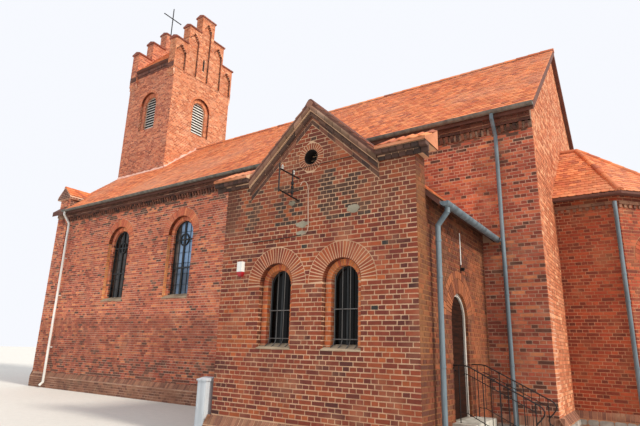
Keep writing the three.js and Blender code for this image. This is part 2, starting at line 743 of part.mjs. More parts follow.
// A solid made for a wall that faces south, turned to one side of the apse
function onApseSide(solid, index) {
  const [ax, ay] = outerPlan[index];
  const [bx, by] = outerPlan[index + 1];
  const geometry = toGeometry(solid);
  geometry.rotateZ(Math.atan2(by - ay, bx - ax));
  geometry.translate((ax + bx) / 2, (ay + by) / 2, 0);
  return toSolid(geometry);
}

const apseCut = windowCut(0, APSE_WINDOW, 0, 1, CHANCEL_WALL);
const apsePlate = windowPlate(0, APSE_WINDOW, PLATE_SETBACK, PLATE_DEPTH);
addPiece('chancel_south_wall', 'brick', chancelSide(0));
addPiece('apse_south_east_wall', 'brick', chancelSide(1).subtract(onApseSide(apseCut, 1)));
addPiece('apse_east_wall', 'brick', chancelSide(2));
addPiece('apse_north_east_wall', 'brick', chancelSide(3).subtract(onApseSide(apseCut, 3)));
addPiece('chancel_north_wall', 'brick', chancelSide(4));
addPiece('apse_south_east_window', 'glass', onApseSide(apsePlate, 1));
addPiece('apse_north_east_window', 'glass', onApseSide(apsePlate, 3));

// Chancel roof: a saddle that ends in three hips

function chancelRoofBody(drop, west) {
  const eaveHalf = CHANCEL_HALF + APSE_EAVE_OUT;
  const eave = CHANCEL_TOP + CHANCEL_ROOF_DEPTH - CHANCEL_PITCH * APSE_EAVE_OUT - drop;
  const ridge = CHANCEL_TOP + CHANCEL_ROOF_DEPTH + CHANCEL_PITCH * CHANCEL_HALF - drop;
  const plan = chancelPlan(eaveHalf, west);
  return hull([
    ...plan.map(([x, y]) => [x, y, eave]),
    ...plan.map(([x, y]) => [x, y, eave - 40]),
    [west, AXIS, ridge],
    [apseCentre, AXIS, ridge],
  ]);
}

function chancelRoof() {
  const top = chancelRoofBody(0, chancelWest);
  const inside = chancelRoofBody(CHANCEL_ROOF_DEPTH - GAP, chancelWest - THROUGH);
  return top.subtract(inside);
}

addPiece('chancel_roof', 'tile', chancelRoof());

// Floor of the nave, the tower hall and the chancel, laid on its fill

function churchFloor() {
  const inset = NAVE_WALL + 2 * GAP;
  const nave = block(inset, NAVE_LENGTH - inset, inset, NAVE_WIDTH - inset, 0, FLOOR_TOP);
  const towerFoot = block(
    0, TOWER_LENGTH + GAP, TOWER_SOUTH - GAP, TOWER_NORTH + GAP, -THROUGH, 2 * FLOOR_TOP,
  );
  const hall = block(
    inset, TOWER_LENGTH - TOWER_WALL - GAP,
    TOWER_SOUTH + TOWER_WALL + GAP, TOWER_NORTH - TOWER_WALL - GAP, 0, FLOOR_TOP,
  );
  const towerPass = block(
    TOWER_LENGTH - TOWER_WALL - THROUGH, TOWER_LENGTH + THROUGH,
    AXIS - TOWER_ARCH.half + GAP, AXIS + TOWER_ARCH.half - GAP, 0, FLOOR_TOP,
  );
  const archPass = block(
    NAVE_LENGTH - NAVE_WALL - THROUGH, NAVE_LENGTH + THROUGH,
    AXIS - CHANCEL_ARCH.half + GAP, AXIS + CHANCEL_ARCH.half - GAP, 0, FLOOR_TOP,
  );
  const chancelPlanIn = chancelPlan(CHANCEL_HALF - CHANCEL_WALL - 2 * GAP, chancelWest);
  const chancel = runZ(outline(chancelPlanIn), 0, FLOOR_TOP);
  return unite([nave.subtract(towerFoot), hall, towerPass, archPass, chancel]);
}

addPiece('church_floor', 'floor', churchFloor());

// Gutters along the eaves

function troughShape(centre, rim, radius, rise) {
  const shape = new THREE.Shape();
  shape.moveTo(centre - radius, rim + rise);
  shape.absarc(centre, rim, radius, Math.PI, 2 * Math.PI, false);
  shape.lineTo(centre + radius, rim + rise);
  shape.closePath();
  return shape;
}

// A half-round gutter with closed ends, run by the given function from one end to the other
function gutter(run, centre, rim, from, to) {
  const body = run(troughShape(centre, rim, GUTTER.radius, 5), from, to);
  const channel = run(troughShape(centre, rim, GUTTER.inner, THROUGH), from + GUTTER.cap, to - GUTTER.cap);
  return body.subtract(channel);
}

const gutterOff = EAVE_OUT + GAP + GUTTER.radius;
const gutterRim = roofTop(-EAVE_OUT) - 45;

function naveGutter(back) {
  return gutter(runX, sideY(-gutterOff, back), gutterRim, PIER.east + 160, NAVE_LENGTH + EAST_VERGE_OUT);
}

addPiece('nave_gutter_front', 'zinc', naveGutter(false));
addPiece('nave_gutter_back', 'zinc', naveGutter(true));

// Downpipes: out of the gutter, back under the eaves, down the wall to a kicked-out shoe

function pipeClips(x, wallY, pipeY, top) {
  return unite(PIPE_CLIP.heights.filter((z) => z < top).map((z) => block(
    x - PIPE_CLIP.half, x + PIPE_CLIP.half, pipeY, wallY - GAP, z - PIPE_CLIP.half, z + PIPE_CLIP.half,
  )));
}

function naveDownpipe(x) {
  const outlet = gutterRim - GUTTER.radius - GAP;
  const neck = outlet - 120;
  const wallY = -PIPE_OFF;
  const bend = neck - 330;
  return unite([
    rod([x, -gutterOff, outlet], [x, -gutterOff, neck - 20], PIPE_RADIUS),
    rod([x, -gutterOff, neck], [x, wallY, bend], PIPE_RADIUS),
    rod([x, wallY, bend + 20], [x, wallY, PIPE_FOOT + 60], PIPE_RADIUS),
    rod([x, wallY, PIPE_FOOT + 80], [x, wallY - 120, PIPE_FOOT - 40], PIPE_RADIUS),
    pipeClips(x, 0, wallY, bend),
  ]);
}

addPiece('west_downpipe', 'white', naveDownpipe(WEST_PIPE_X));
addPiece('nave_downpipe', 'zinc', naveDownpipe(EAST_PIPE_X));

function chancelDownpipe() {
  const x = CHANCEL_CORNER - 60;
  const y = AXIS - CHANCEL_HALF - PIPE_OFF;
  const top = CHANCEL_TOP - CHANCEL_PITCH * APSE_EAVE_OUT - 10;
  return unite([
    rod([x, y, top], [x, y, PIPE_FOOT + 60], PIPE_RADIUS),
    rod([x, y, PIPE_FOOT + 80], [x, y - 120, PIPE_FOOT - 40], PIPE_RADIUS),
    pipeClips(x, AXIS - CHANCEL_HALF, y, top),
  ]);
}

addPiece('chancel_downpipe', 'zinc', chancelDownpipe());

// Annex roof

function annexTop(x) {
  return ANNEX_APEX - ANNEX_PITCH * Math.abs(x - ANNEX_MID);
}

function annexSlab(side) {
  const eave = ANNEX_MID + side * (ANNEX_HALF + ANNEX_EAVE_OUT);
  const ridge = ANNEX_MID + side * GAP / 2;
  const shape = outline([
    [eave, annexTop(eave)],
    [eave, annexTop(eave) - ANNEX_ROOF_DEPTH],
    [ridge, annexTop(ridge) - ANNEX_ROOF_DEPTH],
    [ridge, annexTop(ridge)],
  ]);
  const front = ANNEX_FRONT - ANNEX_VERGE_OUT;
  let slab = runY(shape, front, -GAP);
  const shoulderBack = ANNEX_FRONT + ANNEX_WALL + GAP;
  const inner = ANNEX_MID + side * (SHOULDER_IN - GAP);
  const outer = eave + side * THROUGH;
  slab = slab.subtract(block(
    Math.min(inner, outer), Math.max(inner, outer), front - THROUGH, shoulderBack, 0, ANNEX_APEX,
  ));
  if (side < 0) {
    slab = slab.add(runY(ridgeShape(ANNEX_MID, ANNEX_APEX, ANNEX_PITCH), front, -GAP));
  }
  return slab;
}

addPiece('annex_roof_west', 'tile', annexSlab(-1));
addPiece('annex_roof_east', 'tile', annexSlab(1));

// Annex front wall: gable between two shoulders, twin windows and a round blind opening

function bargeBand(side, upper, lower, out) {
  const foot = ANNEX_MID + side * SHOULDER_IN;
  const under = (x) => annexTop(x) - ANNEX_ROOF_DEPTH - GAP;
  const shape = outline([
    [ANNEX_MID, under(ANNEX_MID) - upper],
    [ANNEX_MID, under(ANNEX_MID) - lower],
    [foot, under(foot) - lower],
    [foot, under(foot) - upper],
  ]);
  return runY(shape, ANNEX_FRONT - out, ANNEX_FRONT + THROUGH);
}

function shoulderCap(side) {
  const inner = ANNEX_MID + side * (SHOULDER_IN + GAP);
  const outer = ANNEX_MID + side * (ANNEX_HALF + SHOULDER_CAP.side);
  const corbel = ANNEX_MID + side * (ANNEX_HALF + SHOULDER_CORBEL.side);
  const back = ANNEX_FRONT + ANNEX_WALL;
  const front = ANNEX_FRONT - SHOULDER_CAP.out;
  const x0 = Math.min(inner, outer);
  const x1 = Math.max(inner, outer);
  const cap = runX(outline([
    [front, SHOULDER_CAP.low],
    [back, SHOULDER_CAP.low],
    [back, SHOULDER_CAP.high],
    [front, SHOULDER_CAP.low + SHOULDER_CAP.depth],
  ]), x0, x1);
  const corbelBlock = block(
    Math.min(inner, corbel), Math.max(inner, corbel),
    ANNEX_FRONT - SHOULDER_CORBEL.out, back, SHOULDER_CORBEL.low, SHOULDER_CAP.low + 1,
  );
  return cap.add(corbelBlock);
}

function annexFrontWall() {
  const under = (x) => annexTop(x) - ANNEX_ROOF_DEPTH - GAP;
  const left = ANNEX_MID - SHOULDER_IN;
  const right = ANNEX_MID + SHOULDER_IN;
  const shape = outline([
    [ANNEX_WEST, 0],
    [ANNEX_EAST, 0],
    [ANNEX_EAST, SHOULDER_TOP],
    [right, SHOULDER_TOP],
    [right, under(right)],
    [ANNEX_MID, under(ANNEX_MID)],
    [left, under(left)],
    [left, SHOULDER_TOP],
    [ANNEX_WEST, SHOULDER_TOP],
  ]);
  const back = ANNEX_FRONT + ANNEX_WALL;
  let wall = runY(shape, ANNEX_FRONT, back);
  wall = wall.add(plinth(ANNEX_WEST, ANNEX_EAST, ANNEX_FRONT, back, 'swe', ANNEX_PLINTH));
  for (const side of [-1, 1]) {
    wall = wall.add(bargeBand(side, 0, BARGE.upper, BARGE.upperOut));
    wall = wall.add(bargeBand(side, BARGE.upper - 1, BARGE.lower, BARGE.lowerOut));
    wall = wall.add(shoulderCap(side));
    const centre = ANNEX_MID + side * ANNEX_WINDOW_OFF;
    wall = wall.subtract(windowCut(centre, ANNEX_WINDOW, ANNEX_FRONT, 1, ANNEX_WALL));
  }
  const oculus = new THREE.Shape();
  oculus.absarc(ANNEX_MID, OCULUS.height, OCULUS.radius, 0, 2 * Math.PI, false);
  return wall.subtract(runY(oculus, ANNEX_FRONT - 2 * THROUGH, ANNEX_FRONT + OCULUS.depth));
}

addPiece('annex_front_wall', 'brick', annexFrontWall());

for (const [name, side] of [['annex_window_west', -1], ['annex_window_east', 1]]) {
  const centre = ANNEX_MID + side * ANNEX_WINDOW_OFF;
  const y0 = ANNEX_FRONT + ANNEX_PLATE_SETBACK;
  addPiece(name, 'glass', windowPlate(centre, ANNEX_WINDOW, y0, PLATE_DEPTH));
}

// Annex side walls: the east one is split beside and over the doorway

function annexSideShape(side) {
  const face = ANNEX_MID + side * ANNEX_HALF;
  const inner = face - side * ANNEX_WALL;
  const under = (x) => annexTop(x) - ANNEX_ROOF_DEPTH - GAP;
  return outline([[face, 0], [face, under(face)], [inner, under(inner)], [inner, 0]]);
}

function annexSideWall(side, y0, y1, withPlinth) {
  const face = ANNEX_MID + side * ANNEX_HALF;
  const inner = face - side * ANNEX_WALL;
  const wall = runY(annexSideShape(side), y0, y1);
  if (!withPlinth) {
    return wall;
  }
  const out = side < 0 ? 'w' : 'e';
  return wall.add(plinth(Math.min(face, inner), Math.max(face, inner), y0, y1, out, ANNEX_PLINTH));
}

const sideStart = ANNEX_FRONT + ANNEX_WALL + GAP;
const rebateSouth = DOOR_SOUTH - DOOR_REBATE;
const rebateNorth = DOOR_NORTH + DOOR_REBATE;
const rebateX = ANNEX_EAST - DOOR_REVEAL;

// The leaf's room to swing: wider and higher than the arch, behind the frame
const rebate = block(
  ANNEX_EAST - ANNEX_WALL - THROUGH, rebateX, rebateSouth, rebateNorth, FLOOR_TOP, DOOR_REBATE_TOP,
);

function overDoorWall() {
  const above = DOOR_SPRINGING;
  let wall = annexSideWall(1, DOOR_SOUTH, DOOR_NORTH, false);
  wall = wall.intersect(block(0, 2 * ANNEX_EAST, DOOR_SOUTH, DOOR_NORTH, above + GAP, ANNEX_APEX));
  const arch = archShape(DOOR_MID, DOOR_HALF, 0, DOOR_SPRINGING);
  wall = wall.subtract(runX(arch, ANNEX_EAST - 2 * ANNEX_WALL, ANNEX_EAST + THROUGH));
  return wall.subtract(rebate);
}

addPiece('annex_west_wall', 'brick', annexSideWall(-1, sideStart, -GAP, true));
const besideDoorNear = annexSideWall(1, sideStart, DOOR_SOUTH - GAP, true);
const besideDoorFar = annexSideWall(1, DOOR_NORTH + GAP, -GAP, true);
addPiece('annex_side_wall_near', 'brick', besideDoorNear.subtract(rebate));
addPiece('annex_side_wall_far', 'brick', besideDoorFar.subtract(rebate));
addPiece('annex_side_wall_over_door', 'brick', overDoorWall());

const innerFace = ANNEX_EAST - ANNEX_WALL;
const doorwayFrom = DOOR_SOUTH + GAP;
const doorwayTo = DOOR_NORTH - GAP;
const doorSill = block(innerFace - THROUGH, ANNEX_EAST, doorwayFrom, doorwayTo, 0, FLOOR_TOP);
const annexFloorBody = block(
  ANNEX_WEST + ANNEX_WALL + GAP, innerFace - GAP, sideStart + GAP, -GAP, 0, FLOOR_TOP,
);
addPiece('annex_floor', 'floor', annexFloorBody.add(doorSill));

// Door frame and the hinged leaf

// The leaf turns into the annex about a vertical line at its inner face, just south of its edge
const leafHalf = DOOR_HALF - FRAME.width + LEAF.lap;
const leafFace = ANNEX_EAST - FRAME.setback - FRAME.depth - LEAF.clear;
const leafBack = leafFace - LEAF.depth;
const hingeY = DOOR_MID - leafHalf - HINGE.off;

// Pintles stand on the frame, and the leaf's knuckles turn on top of them
function doorFrame() {
  const x1 = ANNEX_EAST - FRAME.setback;
  const x0 = x1 - FRAME.depth;
  const outer = archShape(DOOR_MID, DOOR_HALF - GAP, FLOOR_TOP + GAP, DOOR_SPRINGING);
  const inner = archShape(DOOR_MID, DOOR_HALF - FRAME.width, FLOOR_TOP - THROUGH, DOOR_SPRINGING);
  const ring = runX(outer, x0, x1).subtract(runX(inner, x0 - THROUGH, x1 + THROUGH));
  const pintles = HINGE.heights.map((z) => unite([
    rod([leafBack, hingeY, z - HINGE.tall], [leafBack, hingeY, z - GAP], HINGE.pin, 16),
    block(leafBack, x0 + 5, hingeY - HINGE.pin, hingeY + 2, z - HINGE.tall, z - HINGE.tall / 2),
  ]));
  return ring.add(unite(pintles));
}

function doorLeaf() {
  const shape = archShape(DOOR_MID, leafHalf, FLOOR_TOP + LEAF.floorClear, DOOR_SPRINGING);
  const knuckles = HINGE.heights.map((z) => (
    rod([leafBack, hingeY, z], [leafBack, hingeY, z + HINGE.tall], HINGE.knuckle, 16)
  ));
  return runX(shape, leafBack, leafFace).add(unite(knuckles));
}

addPiece('annex_door_frame', 'white', doorFrame());
addPiece('annex_door', 'timber', doorLeaf());

// Landing and steps outside the annex door

function doorSteps() {
  const solids = [];
  let x = ANNEX_EAST + GAP;
  let top = FLOOR_TOP;
  for (const tread of FLIGHT.treads) {
    solids.push(block(x, x + tread, FLIGHT.south, FLIGHT.north, 0, top));
    x += tread;
    top -= FLIGHT.rise;
  }
  const foot = plinth(ANNEX_EAST, ANNEX_EAST + 1, FLIGHT.south - THROUGH, FLIGHT.north + THROUGH, 'e', {
    out: ANNEX_PLINTH.out + GAP,
    shoulder: ANNEX_PLINTH.shoulder + GAP,
    top: ANNEX_PLINTH.top + GAP,
  });
  const east = ANNEX_EAST + 2 * ANNEX_PLINTH.out;
  const beside = [
    block(ANNEX_EAST - THROUGH, east, FLIGHT.south - THROUGH, DOOR_SOUTH, -1, 2 * FLOOR_TOP),
    block(ANNEX_EAST - THROUGH, east, DOOR_NORTH, FLIGHT.north + THROUGH, -1, 2 * FLOOR_TOP),
  ];
  return unite(solids).subtract(foot.intersect(unite(beside)));
}

addPiece('annex_door_steps', 'stone', doorSteps());

// Railings: a level start at the wall, a slope down the steps, and a scroll at the foot

function railing(y) {
  const thick = RAIL.bar / 2;
  const thin = RAIL.thin / 2;
  const start = ANNEX_EAST + GAP;
  const bend = start + RAIL.level;
  const end = start + RAIL.length;
  const topStart = FLOOR_TOP + RAIL.top;
  const topEnd = topStart - RAIL.drop;
  const under = 130;
  const slopeAt = (x) => (x < bend ? topStart : topStart - RAIL.drop * (x - bend) / (end - bend));
  const treadAt = (x) => {
    let edge = ANNEX_EAST;
    let top = FLOOR_TOP;
    for (const tread of FLIGHT.treads) {
      edge += tread;
      if (x < edge + thick) {
        return top;
      }
      top -= FLIGHT.rise;
    }
    return 0;
  };
  const solids = [
    rod([start, y, topStart], [bend, y, topStart], thick, 8),
    rod([bend - 10, y, topStart], [end, y, topEnd], thick, 8),
    rod([start, y, topStart - under], [bend, y, topStart - under], thin, 6),
    rod([bend - 5, y, topStart - under], [end, y, topEnd - under], thin, 6),
    rod([end - 4, y, topEnd + 4], [end + 60, y, topEnd - RAIL_SCROLL * 0.35], thick, 8),
    rod([end + 60, y, topEnd - RAIL_SCROLL * 0.32], [end - 40, y, topEnd - RAIL_SCROLL], thick, 8),
  ];
  for (let i = 0; i < RAIL_BALUSTERS; i += 1) {
    const x = start + 70 + i * (RAIL.length - 110) / (RAIL_BALUSTERS - 1);
    const post = i % 4 === 0 ? thick * 0.9 : thin;
    solids.push(rod([x, y, treadAt(x) + GAP], [x, y, slopeAt(x)], post, 8));
  }
  return unite(solids);
}

addPiece('annex_railing_near', 'iron', railing(RAIL.near));
addPiece('annex_railing_far', 'iron', railing(RAIL.far));

// Annex gutters and downpipe

function annexGutter(side) {
  const eave = ANNEX_MID + side * (ANNEX_HALF + ANNEX_EAVE_OUT);
  const centre = eave + side * (GUTTER.radius + GAP);
  return gutter(runY, centre, annexTop(eave) - 45, sideStart + GAP, -GAP);
}

addPiece('annex_gutter_west', 'zinc', annexGutter(-1));
addPiece('annex_gutter_east', 'zinc', annexGutter(1));

function annexDownpipe() {
  const y = -3160;
  const eave = ANNEX_EAST + ANNEX_EAVE_OUT;
  const gutterX = eave + GUTTER.radius + GAP;
  const outlet = annexTop(eave) - 45 - GUTTER.radius - GAP;
  const wallX = ANNEX_EAST + PIPE_OFF;
  return unite([
    rod([gutterX, y, outlet], [gutterX, y, outlet - 90], PIPE_RADIUS),
    rod([gutterX, y, outlet - 70], [wallX, y, outlet - 290], PIPE_RADIUS),
    rod([wallX, y, outlet - 270], [wallX, y, PIPE_FOOT + 60], PIPE_RADIUS),
    rod([wallX, y, PIPE_FOOT + 80], [wallX + 120, y, PIPE_FOOT - 40], PIPE_RADIUS),
  ]);
}

addPiece('annex_downpipe', 'zinc', annexDownpipe());

// Bracket for two insulators, alarm box, door lamp and cabinet

function insulatorBracket() {
  const half = BRACKET.bar / 2;
  const wall = ANNEX_FRONT - GAP;
  const tip = ANNEX_FRONT - BRACKET.reach;
  const x0 = BRACKET.x - half;
  const x1 = BRACKET.x + half;
  const post = (y, top) => block(x0, x1, y, y + BRACKET.bar, BRACKET.low - 30, top);
  const knobLow = BRACKET.high + 60;
  const knob = (y) => rod([BRACKET.x, y + half, knobLow], [BRACKET.x, y + half, knobLow + 100], 38, 10);
  return unite([
    block(x0, x1, tip, wall, BRACKET.low, BRACKET.low + BRACKET.bar),
    block(x0, x1, tip, wall, BRACKET.high, BRACKET.high + BRACKET.bar),
    post(tip, BRACKET.high + 80),
    post(tip + BRACKET.inner, BRACKET.high + 80),
    knob(tip),
    knob(tip + BRACKET.inner),
  ]);
}

addPiece('insulator_bracket', 'iron', insulatorBracket());
addPiece('alarm_box', 'white', block(
  ALARM.west, ALARM.west + ALARM.width, ANNEX_FRONT - ALARM.depth, ANNEX_FRONT - GAP,
  ALARM.low, ALARM.low + ALARM.height,
));
addPiece('door_lamp', 'iron', unite([
  block(ANNEX_EAST + GAP, ANNEX_EAST + 60, LAMP.y - 30, LAMP.y + 30, LAMP.z, LAMP.z + LAMP.size),
  block(ANNEX_EAST + 50, ANNEX_EAST + 60 + LAMP.size, LAMP.y - 60, LAMP.y + 60, LAMP.z - 40, LAMP.z + 50),
]));
function meterCabinet() {
  const east = ANNEX_WEST - ANNEX_PLINTH.out - GAP;
  const west = east - CABINET.width;
  const front = ANNEX_FRONT - ANNEX_PLINTH.out;
  const back = front + CABINET.depth;
  const lidPlan = [
    [west - CABINET.lid, front - CABINET.lid],
    [east + CABINET.lid, front - CABINET.lid],
    [east + CABINET.lid, back],
    [west - CABINET.lid, back],
  ];
  const lidTop = (y) => (y === back ? CABINET.height : CABINET.height - 40);
  const lid = hull([
    ...lidPlan.map(([x, y]) => [x, y, CABINET.height - 70]),
    ...lidPlan.map(([x, y]) => [x, y, lidTop(y)]),
  ]);
  return block(west, east, front, back, 0, CABINET.height - 60).add(lid);
}

addPiece('meter_cabinet', 'white', meterCabinet());

// Stand the church on the ground with its plan centred on the origin
const extent = new THREE.Box3().setFromObject(building);
const middle = extent.getCenter(axis(0, 0, 0));
building.position.set(-middle.x, -middle.y, -extent.min.z);
building.updateMatrixWorld(true);

export default church;
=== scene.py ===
"""A small red-brick village church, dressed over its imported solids.

Lengths are in metres, in the plan's own frame: X runs east from the west front, Y north from the nave's
front face and Z up from the ground. SHIFT moves them onto the solids.
"""

import logging
import math
from dataclasses import dataclass
from enum import Enum
from typing import Callable, Optional, Sequence

import bpy
import numpy as np
from mathutils import Matrix, Vector


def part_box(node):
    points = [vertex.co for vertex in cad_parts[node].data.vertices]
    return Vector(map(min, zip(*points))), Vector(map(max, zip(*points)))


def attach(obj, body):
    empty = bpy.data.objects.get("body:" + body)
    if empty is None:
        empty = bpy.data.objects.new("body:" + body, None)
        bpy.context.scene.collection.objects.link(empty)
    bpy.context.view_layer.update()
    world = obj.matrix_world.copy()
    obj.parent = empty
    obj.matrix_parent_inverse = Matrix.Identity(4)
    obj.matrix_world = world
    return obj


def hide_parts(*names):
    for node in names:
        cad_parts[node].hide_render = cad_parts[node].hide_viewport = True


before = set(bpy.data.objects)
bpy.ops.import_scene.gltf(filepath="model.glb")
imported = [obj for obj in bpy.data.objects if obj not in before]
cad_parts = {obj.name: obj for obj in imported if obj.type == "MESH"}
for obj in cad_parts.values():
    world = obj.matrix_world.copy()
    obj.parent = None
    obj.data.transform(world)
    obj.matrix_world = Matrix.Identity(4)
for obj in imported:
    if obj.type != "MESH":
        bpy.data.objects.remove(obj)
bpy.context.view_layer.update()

LOG = logging.getLogger("church")
CHURCH, LEAF = "church", "annex_door_leaf"
TURN = 2 * math.pi
SHARP = math.radians(35)
UP = np.array([0, 0, 1.0])
Point = Sequence[float]
Outline = Sequence[Point]
Tone = Callable[[np.ndarray, np.ndarray, float, np.random.Generator], np.ndarray]


class Slot(Enum):
    """The record's material slots; each finish carries one as a field."""

    BRICK = "brick"
    TILE = "tile"
    ZINC = "zinc"
    IRON = "iron"
    GLASS = "glass"
    SLATS = "slats"
    TIMBER = "timber"
    STONE = "stone"
    WHITE = "white"


# Plan, faces and outlines


@dataclass(frozen=True)
class Plan:
    """The church's leading sizes, shared by its sub-assemblies."""

    axis: float = 4.24
    length: float = 19.15
    width: float = 8.48
    apex: float = 10.87
    pitch: float = math.tan(math.radians(40.0))
    roof_depth: float = 0.19
    tower_length: float = 3.33
    tower_south: float = 2.42
    tower_north: float = 6.06
    tower_top: float = 14.4
    gable_west: float = 0.5
    gable_east: float = 2.88
    chancel_half: float = 2.21
    chancel_corner: float = 20.5
    annex_west: float = 13.69
    annex_east: float = 17.92
    annex_mid: float = 15.805
    annex_front: float = -3.69
    annex_apex: float = 6.37
    annex_pitch: float = math.tan(math.radians(43.0))

    def roof_top(self, y: float) -> float:
        """Height of the nave roof's tiles at y."""
        return self.apex - self.pitch * abs(y - self.axis)

    def roof_under(self, y: float) -> float:
        """Height of the nave roof's underside at y."""
        return self.roof_top(y) - self.roof_depth

    def annex_top(self, x: float) -> float:
        """Height of the annex roof's tiles at x."""
        return self.annex_apex - self.annex_pitch * abs(x - self.annex_mid)


PLAN = Plan()
SHIFT = np.array(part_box("tower_east_wall")[0]) - (PLAN.gable_east, PLAN.tower_south, 0.0)


def unit(vector: Point) -> np.ndarray:
    """Scale a vector to length one."""
    return np.asarray(vector, dtype=float) / np.linalg.norm(vector)


def slant(pitch: float) -> float:
    """Give a slope's level length over its own length, from the tangent of its pitch."""
    return math.cos(math.atan(pitch))


def chord(radius: float, away: float) -> float:
    """Give half the width of a circle at a distance from its centre."""
    return math.sqrt(max(radius ** 2 - away ** 2, 0.0))


@dataclass(frozen=True)
class Face:
    """A flat face: u runs along it, v up it, and depth runs into the wall."""

    origin: Point
    normal: Point
    up: Point = (0.0, 0.0, 1.0)

    @property
    def along(self) -> np.ndarray:
        """The direction of u."""
        return np.cross(unit(self.up), unit(self.normal))

    def at(self, u: np.ndarray, v: np.ndarray, depth: np.ndarray) -> np.ndarray:
        """Place points given along the face, up it and into the wall; returns them in the row frame."""
        u, v, depth = (part[..., None] for part in np.broadcast_arrays(u, v, depth))
        return SHIFT + self.origin + u * self.along + v * unit(self.up) - depth * unit(self.normal)

    def deeper(self, depth: float) -> "Face":
        """Make the parallel face at a depth."""
        return Face(self.origin - depth * unit(self.normal), self.normal, self.up)

    def jamb(self, u: float, left: bool, depth: float, reach: float) -> "Face":
        """Make the side face of an opening, from its u, whether it is on the low-u side, and two depths."""
        start = self.deeper(depth if left else reach).origin + u * self.along
        return Face(start, self.along if left else -self.along, self.up)


class Side(Enum):
    """The compass sides, each with the way that it looks."""

    SOUTH = (0, -1, 0)
    NORTH = (0, 1, 0)
    WEST = (-1, 0, 0)
    EAST = (1, 0, 0)

    @property
    def sign(self) -> int:
        """1 where it looks along its axis, -1 where it looks back."""
        return sum(self.value)

    def face(self, at: float) -> Face:
        """Make the upright face that looks this way at a given X or Y."""
        return Face((abs(self.value[0]) * at, abs(self.value[1]) * at, 0), self.value)

    def u(self, place: float) -> float:
        """Turn an X or Y along this side's faces into u."""
        return -place if self in (Side.NORTH, Side.WEST) else place

    def ends(self, a: float, b: float) -> list:
        """Turn two places along this side's faces into a low and a high u."""
        return sorted((self.u(a), self.u(b)))

    def draw(self, outline: Outline) -> list:
        """Turn an outline given in X or Y into (u, v) points."""
        return [(self.u(place), v) for place, v in outline[::int(self.u(1))]]


SOUTH, NORTH, WEST, EAST = Side


def sheet(u0: float, v0: float, u1: float, v1: float) -> list:
    """List the corners of an upright rectangle."""
    u0, u1 = sorted((u0, u1))
    return [(u0, v0), (u1, v0), (u1, v1), (u0, v1)]


def curve(centre: float, height: float, radius: float, turns: Sequence[float]) -> list:
    """List the (u, v) points of a circle at the given angles."""
    return [(centre + radius * math.cos(t), height + radius * math.sin(t)) for t in turns]


def circle(centre: float, height: float, radius: float) -> list:
    """Outline a whole circle."""
    return curve(centre, height, radius, np.linspace(0, TURN, 33)[:-1])


def arch(centre: float, half: float, sill: float, springing: float, grow: float = 0.0) -> list:
    """Outline a round-headed opening, with a ring that widens only its head where grow is given."""
    return [(centre - half, sill), (centre + half, sill), (centre + half, springing),
            *curve(centre, springing, half + grow, np.linspace(0, math.pi, 25)), (centre - half, springing)]


def spans(outline: Outline, v: float, holes: Sequence[Outline] = (), least: float = 0.03) -> list:
    """Find where a level line lies inside an outline and outside every hole.

    Args:
        outline: The outline.
        v: Height of the line.
        holes: The holes.
        least: Length that a run has to pass.

    Returns:
        A list of (low, high) pairs.
    """
    hits = sorted(u0 + (v - v0) * (u1 - u0) / (v1 - v0)
                  for (u0, v0), (u1, v1) in zip(outline, [*outline[1:], outline[0]]) if (v0 > v) != (v1 > v))
    runs = list(zip(hits[::2], hits[1::2]))
    for hole in holes:
        for low, high in spans(hole, v, least=0.0):
            runs = [run for a, b in runs for run in ((a, min(b, low)), (max(a, high), b)) if run[1] > run[0]]
    return [(a, b) for a, b in runs if b - a > least]


def drift(u: np.ndarray, v: float) -> np.ndarray:
    """Give a slow wander between 0 and 1 over a wall."""
    wave = np.sin(2.1 * u + 1.7 * v) + np.sin(0.9 * u - 2.9 * v + 1.3) + np.sin(4.3 * u + 0.6 * v + 2.1)
    return 0.5 + wave / 6


def place(name: str, data: bpy.types.ID) -> bpy.types.Object:
    """Add an object to the scene."""
    thing = bpy.data.objects.new(name, data)
    bpy.context.scene.collection.objects.link(thing)
    return thing


# Finishes


def srgb(code: int) -> tuple:
    """Turn a colour 0xRRGGBB into linear red, green, blue and alpha."""
    parts = [((code >> shift) & 255) / 255 for shift in (16, 8, 0)]
    return (*(c / 12.92 if c <= 0.04045 else ((c + 0.055) / 1.055) ** 2.4 for c in parts), 1.0)


